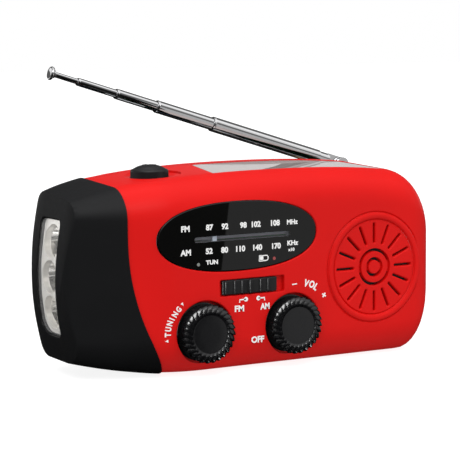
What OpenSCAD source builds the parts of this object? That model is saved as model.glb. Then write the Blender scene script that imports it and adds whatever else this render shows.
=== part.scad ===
/* [Case] */
// Length of the case, along X
body_l = 123.6; // [123.6:0.2:125]
// Depth of the case, along Y
body_d = 46; // [46:0.5:48]
// Height of the case at its crown, along Z
body_h = 59; // [59:0.5:60]
// Wall thickness of the moulded shells
wall = 2; // [1.8:0.1:2.2]
// Depth, along Y, at which the front and rear shells part
parting_y = 8.6; // [8.2:0.1:9]
// How far the lamp end is narrower than the middle, on each side
head_taper = 11.6; // [11:0.1:12]

/* [Controls] */
// Radius of the two round knobs
knob_r = 8.6; // [8:0.1:8.7]
// How far the knobs stand out of the front face
knob_out = 3.5; // [2.5:0.1:4.5]
// Grip flutes around each knob
knob_flutes = 28; // [20:1:32]
// Travel of the band slider
band_travel = 2; // [1.5:0.1:2.3]
// Travel of the lamp button
button_travel = 1.2; // [0.8:0.1:1.3]

/* [Antenna] */
// Angle of the mast above the horizontal
mast_tilt = 17.3; // [14:0.1:20]
// How far the second section is pulled out of the first
mast_out_2 = 20.1; // [15:0.1:25]
// How far the third section is pulled out of the second
mast_out_3 = 14.1; // [10:0.1:20]
// How far the fourth section is pulled out of the third
mast_out_4 = 13.1; // [10:0.1:20]
// How far the tip section is pulled out of the fourth
mast_out_5 = 9.2; // [6:0.1:12]

/* [Crank] */
// Distance from the crank's shaft to its folding handle
crank_reach = 44; // [40:1:45]
// Length of the crank's turning handle
crank_knob_l = 20; // [18:1:22]
// Gear module of the crank and dial gears
gear_module = 0.5; // [0.5]

/* [Hidden] */

$fn = 48;
big = 90;

// Ends, crown and base of the case
end_shift = 1.1;
x_left = -body_l / 2 - end_shift;
x_right = body_l / 2 - end_shift;
half_d = body_d / 2;
mid_z = 28;
crown_x = 4;
crown_fall = 0.00026;
rise_x = -20;
rise_k = 0.0033;
taper_x = -34;
edge_x = -42;
nose_x = -44;
nose_fall = 0.0075;
end_dome = 3.5;
top_round = 17;
low_round = 12.5;
side_round = 13;
body_slant = 0.035;
head_slant = 0.134;
slant_y = 7;
front_y = -half_d;
back_y = half_d;
head_proud = 0.35;

// Lamp head boundary and window
head_x = -46.5;
head_sweep = 10.5;
lens_half_y = 6;
lens_z0 = 12.6;
lens_z1 = 45.8;
led_z = [18.9, 29.2, 39.5];
reflector_x = -53;
cup_deep = 6;

// Dial
dial_x = -12.3;
dial_z = 40.15;
dial_half = [26.3, 10.1];
dial_power = 2.25;
slot_x = [-26.84, 4.99];
slot_z = 39.76;
slot_h = 1.6;
slot_floor_y = -21.4;
slit_h = 0.6;
pointer_x = -19.8;
pointer_w = 1.4;
fin_h = 0.4;
window_y = -22.9;
plate_y = -22.1;
flange_y = -20.9;
plate_back_y = -20.1;

// Knobs, their wells and the dial drive
tuning_at = [-23.6, 12.7];
volume_at = [5.8, 12.7];
well_r = 9.2;
well_wall = 1.2;
well_floor_y = -19.8;
well_back_y = -17.6;
shaft_r = 3;
run = 0.05;
seat = 0.02;
pot_front_y = -14;
pot_back_y = -6.2;
pot_floor = 1.9;
nose_r = 4.4;
drive_y = -17.2;
drive_t = 1.2;
drive_teeth = 24;
drive_r = gear_module * drive_teeth / 2;
drive_dir = 1.5 * 360 / drive_teeth;
idler_at = tuning_at + 2 * drive_r * [cos(drive_dir), sin(drive_dir)];
idler_axle_r = 1.5;
rack_z = idler_at[1] + drive_r;
rack_h = 2.6;
rack_teeth = 20;
rack_pitch = PI * gear_module;
pressure = 25;
backlash = 0.1;

// Band switch
band_gap = 0.3;
band_cap_x = -17.7;
band_cap_w = 18.2;
band_left = 1;
band_right = 0.4;
band_x = [band_cap_x - band_left, band_cap_x + band_cap_w + band_travel + band_right];
band_z = [22.8, 27.6];
band_floor_y = -21.5;
band_stem = [5, 2.4];
band_stem_at = [band_cap_x + 6.6, 24.1];

// Speaker
speaker_at = [34.66, 27.66];
speaker_r = 15.5;
speaker_y = -19.9;
screen_r = 14.4;
screen_t = 0.25;
grille_slots = 16;
bead_r = 15.6;
bead_half_w = 0.95;

// Top
solar_x = [-15.7, 45.5];
solar_y = [-13.6, 7.2];
solar_skew = 4;
button_at = [-31, -3];
button_r = 5.4;
button_top = crown_z(button_at[0], button_at[1]);
button_foot = 4;
button_flange = 0.8;
switch_z = button_top - button_foot - button_travel - 0.1;
ledge_y = 11.5;
ledge_z = 52.4;
ledge_x = -58;

// Antenna
mast_at = [46.6, 16, 55.95];
mast_start = 8.3;
mast_l1 = 40.4;
mast_r = [2.35, 1.98, 1.62, 1.24, 0.86];
mast_wall = 0.3;
bush_h = 4;
mast_end_2 = mast_start + mast_l1 + mast_out_2;
mast_end_3 = mast_end_2 + mast_out_3;
mast_end_4 = mast_end_3 + mast_out_4;
mast_end_5 = mast_end_4 + mast_out_5;
mast_stop = 1.2;

// Crank and gear train
crank_at = [38, 31];
crank_teeth = 60;
pinion_teeth = 12;
second_teeth = 48;
crank_gear_y = 16.1;
second_gear_y = 14.2;
gear_t = 1.6;
first_dir = 158;
second_dir = 180;
crank_r = gear_module * (crank_teeth + pinion_teeth) / 2;
second_r = gear_module * (second_teeth + pinion_teeth) / 2;
idler_gear_at = crank_at + crank_r * [cos(first_dir), sin(first_dir)];
generator_at = idler_gear_at + second_r * [cos(second_dir), sin(second_dir)];
first_phase = first_dir + 180 + crank_teeth / pinion_teeth * first_dir + 180 / pinion_teeth;
second_phase = second_dir + 180 + second_teeth / pinion_teeth * second_dir + 180 / pinion_teeth;
plate_rear_y = 13.8;
plate_t = 1.2;
arm_y = 23.6;
arm_t = 6;
peg_y = 27;
peg_x = crank_at[0] - crank_reach;
crank_knob_r = 3.4;

// Ports
port_x = [-34, -15];
port_z = [26, 45];
port_floor_y = 21.6;
flap_y = 22.3;
flap_half_t = 0.65;

boss_at = [[54, 12], [54, 43], [-42, 46], [29, 5.8]];
boss_r = 3;
ferrite_z = 49.5;

// ---- Outline of the case ----

function part01(t) = min(1, max(0, t));
function rounding(t, n) = pow(1 - pow(part01(t), n), 1 / n);
function top_line(x) = body_h - crown_fall * pow(abs(x - crown_x), 2.4)
    - nose_fall * pow(max(0, nose_x - x), 1.5);
function bottom_line(x) = x < rise_x ? rise_k * pow(rise_x - x, 2) : 0;
function left_end(x) = sqrt(part01((x - x_left) / end_dome));
function top_end(x) = x > 0 ? rounding((x - x_right + top_round) / top_round, 2.25) : left_end(x);
function bottom_end(x) = x > 0 ? rounding((x - x_right + low_round) / low_round, 1.85) : left_end(x);
function crown_z(x, y) = mid_z + (top_line(x) - mid_z) * top_end(x) + body_slant * (y - slant_y);
function half_depth(x) = x > 0
    ? half_d * rounding((x - x_right + side_round) / side_round, 2.5)
    : half_d - head_taper * pow(part01((taper_x - x) / (taper_x - x_left)), 1.4)
        - 2 * (1 - rounding((x_left + 2 - x) / 2, 2));

function corner(y, z, r, a, n) = [for (i = [0:n]) [y + r * cos(a + 90 * i / n), z + r * sin(a + 90 * i / n)]];

// One section of the case, drawn inside it by inset, with n steps to a corner
function section(x, inset, n) =
    let (xe = x > 0 ? x * x_right / (x_right - inset) : x * x_left / (x_left + inset),
         zt = mid_z + (top_line(xe) - mid_z) * top_end(xe) - inset,
         zb = mid_z - (mid_z - bottom_line(xe)) * bottom_end(xe) + inset,
         hy = half_depth(xe) - inset,
         most = 0.92 * min(hy, (zt - zb) / 2),
         tight = part01((edge_x - xe) / (edge_x - x_left)),
         slant = body_slant + (head_slant - body_slant) * tight,
         front_r = min(10 - 6.5 * tight - inset, most),
         other_r = min(10.5 - 4.5 * tight - inset, most))
    [for (p = concat(
        corner(hy - other_r, zt - other_r, other_r, 0, n),
        corner(front_r - hy, zt - front_r, front_r, 90, n),
        corner(other_r - hy, zb + other_r, other_r, 180, n),
        corner(hy - other_r, zb + other_r, other_r, 270, n)))
        [x, p[0], p[1] + slant * (p[0] - slant_y) * part01((p[1] - mid_z) / (zt - mid_z))]];

function stations(inset, middle) = concat(
    [for (i = [0:5]) x_left + inset + 0.06 + 0.1 * inset + end_dome * (1 - cos(18 * i))],
    [for (i = [1:middle]) x_left + 4.5 + (x_right - x_left - 6.5 - top_round) * i / (middle + 1)],
    [for (i = [0:7]) x_right - inset - 0.1 - top_round * (1 - sin(90 / 7 * i))]);

module loft(rings) {
    count = len(rings[0]);
    last = len(rings) - 1;
    polyhedron(
        points = [for (ring = rings) each ring],
        faces = concat(
            [[for (j = [0:count - 1]) j]],
            [[for (j = [0:count - 1]) last * count + count - 1 - j]],
            [for (i = [0:last - 1], j = [0:count - 1])
                let (a = i * count + j, b = i * count + (j + 1) % count)
                each [[a, a + count, b + count], [a, b + count, b]]]),
        convexity = 4);
}

module outline(inset, n = 5, middle = 9) {
    loft([for (x = stations(inset, middle)) section(x, inset, n)]);
}

// An XZ outline drawn from y = from_y to y = to_y
module along_y(from_y, to_y) {
    translate([0, to_y, 0]) rotate([90, 0, 0]) linear_extrude(to_y - from_y) children();
}

module rod_y(at, r, from_y, to_y) {
    translate([at[0], from_y, at[1]]) rotate([-90, 0, 0]) cylinder(r = r, h = to_y - from_y);
}

function head_edge(z) = head_x + head_sweep * pow(max(0, (42 - z) / 39), 2.2);

module head_region(shift = 0) {
    along_y(-big, big) polygon(concat(
        [for (i = [0:16]) let (z = -4 + 46 * i / 16) [head_edge(z) + shift, z]],
        [[head_x + shift, 80], [-big, 80], [-big, -4]]));
}

module dial_shape(grow = 0) {
    polygon([for (i = [0:63]) let (a = 360 * i / 64, c = cos(a), s = sin(a))
        [dial_x + (dial_half[0] + grow) * sign(c) * pow(abs(c), 2 / dial_power),
         dial_z + (dial_half[1] + grow) * sign(s) * pow(abs(s), 2 / dial_power)]]);
}

module lens_window(grow) {
    translate([x_left - 10, -lens_half_y - grow, lens_z0 - grow])
        cube([16, 2 * (lens_half_y + grow), lens_z1 - lens_z0 + 2 * grow]);
}

// A strip over the solar panel that follows the crown, from under below it to above over it
module crown_strip(above, under) {
    x0 = solar_x[0] - 2;
    x1 = solar_x[1] + 2;
    steps = 16;
    multmatrix([[1, 0, 0, 0], [0, 1, 0, 0], [0, body_slant, 1, 0], [0, 0, 0, 1]])
        along_y(solar_y[0] - 1, solar_y[1] + 1) polygon(concat(
            [for (i = [0:steps]) let (x = x0 + (x1 - x0) * i / steps) [x, crown_z(x, 0) + above]],
            [for (i = [steps:-1:0]) let (x = x0 + (x1 - x0) * i / steps) [x, crown_z(x, 0) - under]]));
}

module solar_region(grow) {
    linear_extrude(big) polygon([
        [solar_x[0] - grow, solar_y[0] - grow], [solar_x[1] + grow, solar_y[0] - grow],
        [solar_x[1] - solar_skew + grow, solar_y[1] + grow],
        [solar_x[0] + solar_skew - grow, solar_y[1] + grow]]);
}

module grille_cuts() {
    translate([speaker_at[0], 0, speaker_at[1]]) {
        for (i = [0:grille_slots - 1]) rotate([0, 360 / grille_slots * i, 0])
            translate([7.3, front_y - 2, -0.5]) cube([6.1, 6, 1]);
        for (r = [2.5, 5.2], side = [0, 180]) rotate([0, side, 0])
            along_y(front_y - 2, front_y + 4) intersection() {
                difference() {
                    circle(r + 0.45, $fn = 32);
                    circle(r - 0.45, $fn = 32);
                }
                translate([-3 * r, 0.35 * r]) square([6 * r, 3 * r]);
            }
    }
}

// ---- Gears ----

function involute(a) = tan(a) * 180 / PI - a;
function tooth_half(r, teeth) =
    let (pitch_r = gear_module * teeth / 2, base_r = pitch_r * cos(pressure))
    90 / teeth - backlash / 2 / pitch_r * 90 / PI + involute(pressure)
        - involute(acos(min(1, base_r / max(r, base_r))));

module gear_shape(teeth, phase) {
    pitch_r = gear_module * teeth / 2;
    tip = pitch_r + gear_module;
    root = pitch_r - 1.25 * gear_module;
    low = max(pitch_r * cos(pressure), root + 0.02);
    flank = [for (i = [0:3]) low + (tip - low) * i / 3];
    polygon([for (k = [0:teeth - 1]) let (a = phase + 360 * k / teeth) each concat(
        [root * [cos(a - tooth_half(low, teeth)), sin(a - tooth_half(low, teeth))]],
        [for (r = flank) r * [cos(a - tooth_half(r, teeth)), sin(a - tooth_half(r, teeth))]],
        [for (i = [3:-1:0]) let (r = flank[i])
            r * [cos(a + tooth_half(r, teeth)), sin(a + tooth_half(r, teeth))]],
        [root * [cos(a + tooth_half(low, teeth)), sin(a + tooth_half(low, teeth))]])]);
}

module gear(at, teeth, phase, y, t) {
    translate([at[0], 0, at[1]]) along_y(y, y + t) gear_shape(teeth, phase);
}

// ---- Shells ----

module boss_holes(r, from_y, to_y) {
    for (at = boss_at) rod_y(at, r, from_y, to_y);
}

module shell_blank() {
    difference() {
        outline(0);
        outline(wall, 3, 6);
    }
}

// The slot that the band slider's stem runs in
module band_stem_slot(from_y, depth) {
    translate([band_stem_at[0] - band_gap, from_y, band_stem_at[1] - band_gap])
        cube([band_stem[0] + band_travel + 2 * band_gap, depth, band_stem[1] + 2 * band_gap]);
}

module front_shell() {
    color([0.85, 0.13, 0.11]) resize([0, 0, 0]) difference() {
        union() {
            difference() {
                shell_blank();
                translate([-big, parting_y, -big]) cube([2 * big, big, 2 * big]);
                head_region();
            }
            intersection() {
                outline(0.3);
                for (at = [tuning_at, volume_at])
                    rod_y(at, well_r + well_wall, front_y + 0.5, well_back_y);
            }
            translate([speaker_at[0], 0, speaker_at[1]]) along_y(front_y - 0.5, front_y + 1) difference() {
                circle(bead_r + bead_half_w, $fn = 64);
                circle(bead_r - bead_half_w, $fn = 64);
            }
            intersection() {
                outline(0.5);
                boss_holes(boss_r, front_y + 1, parting_y);
            }
        }
        for (at = [tuning_at, volume_at]) {
            rod_y(at, well_r, front_y - 5, well_floor_y);
            rod_y(at, shaft_r + 0.8, front_y, well_back_y + 1);
        }
        boss_holes(1.4, -3, parting_y + 1);
        along_y(front_y - 2, front_y + 3) dial_shape(0.1);
        along_y(flange_y - 0.05, flange_y + 2) dial_shape(1.6);
        translate([band_x[0], front_y - 2, band_z[0]])
            cube([band_x[1] - band_x[0], band_floor_y - front_y + 2, band_z[1] - band_z[0]]);
        band_stem_slot(front_y - 2, 5);
        grille_cuts();
        intersection() {
            crown_strip(4, 1.9);
            solar_region(0.1);
        }
        translate([button_at[0], button_at[1], 40]) cylinder(r = button_r + 0.25, h = 30);
    }
}

module rear_shell() {
    color([0.8, 0.12, 0.1]) resize([0, 0, 0]) difference() {
        union() {
            difference() {
                shell_blank();
                translate([-big, parting_y - 2 * big, -big]) cube([2 * big, 2 * big, 2 * big]);
                head_region();
            }
            intersection() {
                outline(0);
                difference() {
                    union() {
                        translate([head_x - 10, ledge_y - wall, ledge_z - wall]) cube([big + 30, 30, 30]);
                        translate([port_x[0] - 2, 19, port_z[0] - 2])
                            cube([port_x[1] - port_x[0] + 4, 6, port_z[1] - port_z[0] + 4]);
                    }
                    head_region();
                }
            }
            intersection() {
                outline(0.5);
                boss_holes(boss_r, parting_y, back_y);
            }
        }
        translate([-big, ledge_y, ledge_z]) cube([2 * big, 30, 30]);
        boss_holes(1.6, parting_y - 1, 30);
        boss_holes(2.8, 14, 30);
        rod_y(crank_at, 5.06, 15, 30);
        translate([mast_at[0], mast_at[1], 45]) cylinder(r = 3.06, h = 20);
        translate([port_x[0], port_floor_y, port_z[0]])
            cube([port_x[1] - port_x[0], 5, port_z[1] - port_z[0]]);
        translate([port_x[0] - 1.2, flap_y - 0.5, port_z[1] - 1.5])
            cube([port_x[1] - port_x[0] + 2.4, 5, 1]);
        translate([-32, 15, 27.5]) cube([15, 10, 15.4]);
    }
}

module lamp_hood() {
    color([0.11, 0.11, 0.12]) resize([0, 0, 0]) difference() {
        intersection() {
            union() {
                difference() {
                    outline(-head_proud);
                    outline(wall, 3, 6);
                }
                intersection() {
                    outline(-head_proud);
                    translate([ledge_x - wall, ledge_y - wall, ledge_z - wall]) cube([40, 30, 30]);
                }
            }
            head_region(-0.02);
        }
        lens_window(0.1);
        translate([ledge_x, ledge_y, ledge_z]) cube([2 * big, 30, 30]);
    }
}

module lamp_lens() {
    color([0.9, 0.93, 0.95, 0.5]) resize([0, 0, 0]) intersection() {
        difference() {
            outline(0);
            outline(1.6);
        }
        lens_window(0);
    }
}

module lamp_reflector() {
    color([0.8, 0.8, 0.82]) resize([0, 0, 0]) difference() {
        intersection() {
            translate([reflector_x - cup_deep, -7.5, lens_z0 - 0.5])
                cube([cup_deep, 15, lens_z1 - lens_z0 + 1]);
            outline(wall + 0.4, 3, 6);
        }
        for (z = led_z) translate([reflector_x - cup_deep, 0, z]) rotate([0, 90, 0])
            cylinder(r1 = 5, r2 = 2.3, h = cup_deep + 0.1);
    }
}

module lamp_leds() {
    color([0.95, 0.93, 0.75]) for (z = led_z) translate([reflector_x, 0, z]) rotate([0, -90, 0]) {
        cylinder(r = 1.8, h = 2.2);
        translate([0, 0, 2.2]) intersection() {
            sphere(r = 1.8);
            cylinder(r = 3, h = 3);
        }
    }
}

module lamp_board() {
    color([0.1, 0.4, 0.2]) translate([reflector_x, -8, 12]) cube([1.2, 16, 36]);
}

// ---- Dial and its drive ----

module dial_window() {
    color([0.1, 0.1, 0.1, 0.4]) along_y(window_y, plate_y) dial_shape();
}

module dial_plate() {
    color([0.09, 0.09, 0.09]) difference() {
        union() {
            along_y(plate_y, flange_y) dial_shape();
            along_y(flange_y, plate_back_y) dial_shape(1.5);
        }
        translate([slot_x[0], plate_y - 1, slot_z - slot_h / 2])
            cube([slot_x[1] - slot_x[0], slot_floor_y - plate_y + 1, slot_h]);
        translate([slot_x[0], plate_y, slot_z - slot_h / 2])
            cube([slot_x[1] - slot_x[0], 4, slit_h]);
    }
}

module rack_shape() {
    tooth = rack_pitch / 4 - backlash / 4;
    slope = tan(pressure) * gear_module;
    first = idler_at[0] - 15 * rack_pitch;
    left = first - rack_pitch / 2;
    right = left + rack_teeth * rack_pitch;
    root_z = rack_z + 1.25 * gear_module;
    tip_z = rack_z - gear_module;
    polygon(concat(
        [[left, rack_z + rack_h], [left, root_z]],
        [for (k = [0:rack_teeth - 1]) let (x = first + k * rack_pitch) each [
            [x - tooth - 1.25 * slope, root_z],
            [x - tooth + slope, tip_z],
            [x + tooth - slope, tip_z],
            [x + tooth + 1.25 * slope, root_z]]],
        [[right, root_z], [right, rack_z + rack_h]]));
}

module dial_pointer() {
    color([0.85, 0.92, 1]) {
        along_y(drive_y, drive_y + drive_t) rack_shape();
        translate([pointer_x - 1.5, drive_y, rack_z + 2]) cube([3, drive_t, slot_z - rack_z - 1]);
        translate([pointer_x - pointer_w / 2, plate_y + 0.15, slot_z - slot_h / 2 + 0.1])
            cube([pointer_w, slot_floor_y - plate_y - 0.3, slot_h - 0.2]);
        translate([pointer_x - pointer_w / 2, plate_y + 0.3, slot_z - slot_h / 2 + 0.1])
            cube([pointer_w, drive_y - plate_y, fin_h]);
    }
}

module dial_idler() {
    color([0.9, 0.9, 0.85]) difference() {
        gear(idler_at, drive_teeth, 2 * drive_dir + 180 + 180 / drive_teeth, drive_y, drive_t);
        rod_y(idler_at, idler_axle_r + run, drive_y - 1, drive_y + 3);
    }
}

module pointer_rail() {
    rail_y = drive_y + drive_t + 0.3;
    rail_z = rack_z + 1;
    rail_h = 4;
    color([0.3, 0.3, 0.32]) {
        translate([-40, rail_y, rail_z]) cube([60, 1, rail_h]);
        translate([idler_at[0] - 2, rail_y, idler_at[1] - 2]) cube([4, 1, rail_z - idler_at[1] + 3]);
        rod_y(idler_at, idler_axle_r, drive_y - 0.3, rail_y + 0.5);
    }
}

// ---- Knobs and the parts they turn ----

module flute_shape(r) {
    polygon([for (i = [0:4 * knob_flutes - 1]) let (a = 90 * i / knob_flutes)
        (r - (i % 4 == 0 ? 0.7 : (i % 2 == 1 ? 0.25 : 0))) * [cos(a), sin(a)]]);
}

module knob(at) {
    face_y = front_y - knob_out;
    color([0.14, 0.14, 0.15]) difference() {
        union() {
            translate([at[0], 0, at[1]]) along_y(face_y + 1, well_floor_y - 0.3) flute_shape(knob_r);
            rod_y(at, 6.2, face_y, face_y + 2);
        }
        rod_y(at, shaft_r + seat, face_y + 1.8, 0);
    }
}

module tuning_knob() {
    knob(tuning_at);
}

module volume_knob() {
    knob(volume_at);
}

module knob_shaft(at) {
    rod_y(at, shaft_r, front_y - knob_out + 2, pot_back_y - 2);
}

module tuning_shaft() {
    color([0.75, 0.76, 0.78]) {
        knob_shaft(tuning_at);
        gear(tuning_at, drive_teeth, 0, drive_y, drive_t);
    }
}

module volume_shaft() {
    color([0.75, 0.76, 0.78]) knob_shaft(volume_at);
}

module tuning_capacitor() {
    color([0.8, 0.78, 0.7]) difference() {
        union() {
            translate([tuning_at[0] - 9, pot_front_y, tuning_at[1] - 8]) cube([18, 7.8, 17]);
            rod_y(tuning_at, nose_r, drive_y + drive_t + 0.2, pot_front_y + 1);
        }
        rod_y(tuning_at, shaft_r + run, drive_y, pot_back_y - pot_floor);
    }
}

module volume_pot() {
    color([0.6, 0.6, 0.62]) difference() {
        union() {
            rod_y(volume_at, 8, pot_front_y, pot_back_y);
            rod_y(volume_at, nose_r, well_back_y + 0.1, pot_front_y + 1);
        }
        rod_y(volume_at, shaft_r + run, front_y, pot_back_y - pot_floor);
    }
}

module band_slider() {
    cap_z = band_z[0] + band_gap;
    cap_h = band_z[1] - band_z[0] - 2 * band_gap;
    rib_pitch = 2.7;
    color([0.1, 0.1, 0.11]) {
        translate([band_cap_x, front_y - 0.4, cap_z])
            cube([band_cap_w, band_floor_y - 0.1 - front_y + 0.4, cap_h]);
        for (i = [0:5]) translate([band_cap_x + 1.2 + rib_pitch * i, front_y - 1, cap_z])
            cube([1, 1, cap_h]);
        translate([band_stem_at[0], band_floor_y - 0.5, band_stem_at[1]])
            cube([band_stem[0], 2.4, band_stem[1]]);
    }
}

module band_switch() {
    color([0.35, 0.35, 0.37]) difference() {
        translate([band_x[0] - 0.5, front_y + wall + 0.1, band_z[0] + 0.5])
            cube([band_x[1] - band_x[0] + 1, 3.2, 5.1]);
        band_stem_slot(front_y + wall, 2.3);
    }
}

// ---- Speaker ----

module speaker_spin() {
    translate([speaker_at[0], 0, speaker_at[1]]) rotate([-90, 0, 0]) rotate_extrude() children();
}

module dust_screen() {
    color([0.08, 0.08, 0.08]) rod_y(speaker_at, screen_r, speaker_y - 0.1 - screen_t, speaker_y - 0.1);
}

module speaker_frame() {
    color([0.55, 0.56, 0.58]) speaker_spin() polygon([
        [speaker_r - 3, speaker_y], [speaker_r, speaker_y], [speaker_r, speaker_y + 1.4],
        [speaker_r - 1.8, speaker_y + 1.4], [10, -12], [10, -11], [7, -11], [7, -12.2],
        [9, -12.2], [speaker_r - 3, speaker_y + 1.4]]);
}

module speaker_cone() {
    color([0.12, 0.12, 0.13]) speaker_spin() polygon([[0, -16.2], [4, -15.4], [4.2, -15.4],
        [speaker_r - 3.2, speaker_y + 0.2], [speaker_r - 3.2, speaker_y + 0.6], [4, -14.6],
        [4, -12.4], [3.4, -12.4], [3.4, -15], [0, -15.8]]);
}

module speaker_magnet() {
    color([0.3, 0.3, 0.3]) difference() {
        rod_y(speaker_at, 9, -10.95, -6.6);
        rod_y(speaker_at, 4.6, -11.5, -9);
    }
}

// ---- Boards, aerial rod and cell ----

module main_board() {
    color([0.1, 0.42, 0.22]) difference() {
        translate([-38, -5.9, 9.5]) cube([86, 1.6, 40.5]);
        translate([button_at[0] - 8, -8, switch_z - 6.7]) cube([16, 6, 10]);
    }
}

module ferrite_rod() {
    color([0.2, 0.2, 0.2]) translate([-14, -14, ferrite_z]) rotate([0, 90, 0]) cylinder(r = 3.5, h = 58);
}

module ferrite_coil() {
    color([0.75, 0.4, 0.2]) translate([0, -14, ferrite_z]) rotate([0, 90, 0]) difference() {
        cylinder(r = 4.3, h = 16);
        translate([0, 0, -1]) cylinder(r = 3.5, h = 18);
    }
}

module battery_cell() {
    color([0.2, 0.5, 0.75]) translate([-40, 9.4, 14.4]) rotate([0, 90, 0]) {
        cylinder(r = 9.1, h = 64);
        cylinder(r = 4, h = 65);
    }
}

// ---- Top ----

module solar_cover() {
    color([0.8, 0.79, 0.8, 0.6]) resize([0, 0, 0]) intersection() {
        crown_strip(-0.1, 1.1);
        solar_region(0);
    }
}

module solar_panel() {
    color([0.1, 0.1, 0.2]) resize([0, 0, 0]) intersection() {
        crown_strip(-1.1, 1.8);
        solar_region(-0.6);
    }
}

module lamp_button() {
    foot_z = button_top - button_foot;
    flange_r = button_r + button_flange;
    shoulder = 1.6;
    color([0.1, 0.1, 0.11]) translate([button_at[0], button_at[1], 0]) rotate_extrude()
        polygon(concat(
            [[0, foot_z], [flange_r, foot_z], [flange_r, foot_z + 0.8], [button_r, foot_z + 0.8]],
            [for (a = [0:15:90])
                [button_r - shoulder + shoulder * cos(a), button_top + 1.6 + 1.2 * sin(a)]],
            [[0, button_top + 3.1]]));
}

module lamp_switch() {
    color([0.2, 0.2, 0.22]) translate([button_at[0], button_at[1], switch_z]) {
        translate([0, 0, -2]) cylinder(r = 1.7, h = 2);
        translate([-3, -3, -5]) cube([6, 6, 3.5]);
        translate([-7, -2.5, -6.2]) cube([14, 9, 1.2]);
    }
}

// ---- Antenna: turret, knuckle and telescoping mast ----

module antenna_bush() {
    color([0.7, 0.7, 0.72]) translate([mast_at[0], mast_at[1], ledge_z - bush_h]) difference() {
        cylinder(r = 3, h = bush_h);
        translate([0, 0, -1]) cylinder(r = 1.6 + run, h = 8);
    }
}

module antenna_turret() {
    color([0.8, 0.8, 0.82]) translate([mast_at[0], mast_at[1], 0]) difference() {
        union() {
            translate([0, 0, ledge_z + 0.1]) cylinder(r = 4.2, h = 0.9);
            translate([0, 0, ledge_z - bush_h - 0.9]) cylinder(r = 1.6, h = bush_h + 1.2);
            translate([0, 0, ledge_z - bush_h - 1]) cylinder(r = 2.4, h = 0.9);
            for (side = [-1, 1]) translate([0, side * 2.3, 0]) {
                translate([-2.2, -0.7, ledge_z + 0.5]) cube([4.4, 1.4, mast_at[2] - ledge_z - 0.5]);
                translate([0, 0.7, mast_at[2]]) rotate([90, 0, 0]) cylinder(r = 2.2, h = 1.4);
            }
        }
        translate([0, 5, mast_at[2]]) rotate([90, 0, 0]) cylinder(r = 1, h = 10);
    }
}

module antenna_pin() {
    color([0.6, 0.6, 0.62]) translate(mast_at) rotate([90, 0, 0]) translate([0, 0, -3.2]) {
        cylinder(r = 1, h = 6.4);
        cylinder(r = 1.6, h = 0.2);
    }
}

// The mast's own frame: +Z runs from the pivot along the mast
module mast_frame() {
    translate(mast_at) rotate([0, mast_tilt - 90, 0]) children();
}

module antenna_knuckle() {
    color([0.85, 0.85, 0.87]) mast_frame() difference() {
        union() {
            translate([-2.1, -1.5, 0]) cube([4.2, 3, 5]);
            translate([0, 1.5, 0]) rotate([90, 0, 0]) cylinder(r = 2.2, h = 3);
            translate([0, 0, 4.6]) cylinder(r = 2.1, h = mast_start - 4.6);
            translate([0, 0, mast_start - 1]) cylinder(r = mast_r[0] - mast_wall - seat, h = 2);
        }
        translate([0, 4, 0]) rotate([90, 0, 0]) cylinder(r = 1 + run, h = 8);
    }
}

module mast_tube(r, from, to, floor_t) {
    color([0.86, 0.87, 0.88]) mast_frame() translate([0, 0, from]) difference() {
        cylinder(r = r, h = to - from);
        translate([0, 0, floor_t]) cylinder(r = r - mast_wall, h = to - from + 2);
    }
}

module antenna_tube_1() {
    mast_tube(mast_r[0], mast_start, mast_start + mast_l1, -1);
}

module antenna_tube_2() {
    mast_tube(mast_r[1], mast_start + mast_stop + mast_out_2, mast_end_2, 0.8);
}

module antenna_tube_3() {
    mast_tube(mast_r[2], mast_start + 2 * mast_stop + mast_out_2 + mast_out_3, mast_end_3, 0.8);
}

module antenna_tube_4() {
    mast_tube(mast_r[3], mast_start + 3 * mast_stop + mast_end_4 - mast_start - mast_l1, mast_end_4, 0.8);
}

module antenna_rod_5() {
    foot = mast_start + 4 * mast_stop + mast_end_5 - mast_start - mast_l1;
    color([0.86, 0.87, 0.88]) mast_frame() {
        translate([0, 0, foot]) cylinder(r = mast_r[4], h = mast_end_5 - foot);
        translate([0, 0, mast_end_5 - 1.6]) cylinder(r = 1.25, h = 1);
        translate([0, 0, mast_end_5 - 0.9]) cylinder(r = 2.05, h = 0.9);
    }
}

// ---- Crank, gears and generator ----

module crank_bush() {
    color([0.75, 0.7, 0.5]) difference() {
        union() {
            rod_y(crank_at, 5, 19.5, back_y);
            rod_y(crank_at, 6, back_y - wall - 0.8, back_y - wall);
        }
        rod_y(crank_at, shaft_r + run, 15, 30);
    }
}

module crank_shaft() {
    color([0.7, 0.7, 0.72]) difference() {
        rod_y(crank_at, shaft_r, plate_rear_y - plate_t, 27.4);
        rod_y(crank_at, 1.5, 20, 30);
    }
}

module crank_gear() {
    color([0.93, 0.93, 0.9]) difference() {
        gear(crank_at, crank_teeth, 0, crank_gear_y, gear_t);
        rod_y(crank_at, shaft_r, 10, 30);
    }
}

module crank_arm() {
    nest_h = 2 * crank_knob_r + 0.7;
    nest_l = crank_knob_l + 8.6;
    color([0.12, 0.12, 0.13]) difference() {
        union() {
            rod_y(crank_at, 8, arm_y, arm_y + arm_t);
            translate([peg_x, arm_y, crank_at[1] - 7]) cube([crank_reach, arm_t, 14]);
            rod_y([peg_x, crank_at[1]], 7, arm_y, arm_y + arm_t);
        }
        translate([peg_x - 3.6, arm_y - 1, crank_at[1] - nest_h / 2]) cube([nest_l, 8, nest_h]);
        rod_y(crank_at, shaft_r + seat, 20, 27.5);
        rod_y(crank_at, 1.6, 20, 30);
        rod_y(crank_at, 3.3, 27.6, 31);
        translate([peg_x, peg_y, crank_at[1] - 6.2]) cylinder(r = 1, h = 12.4);
    }
}

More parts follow.
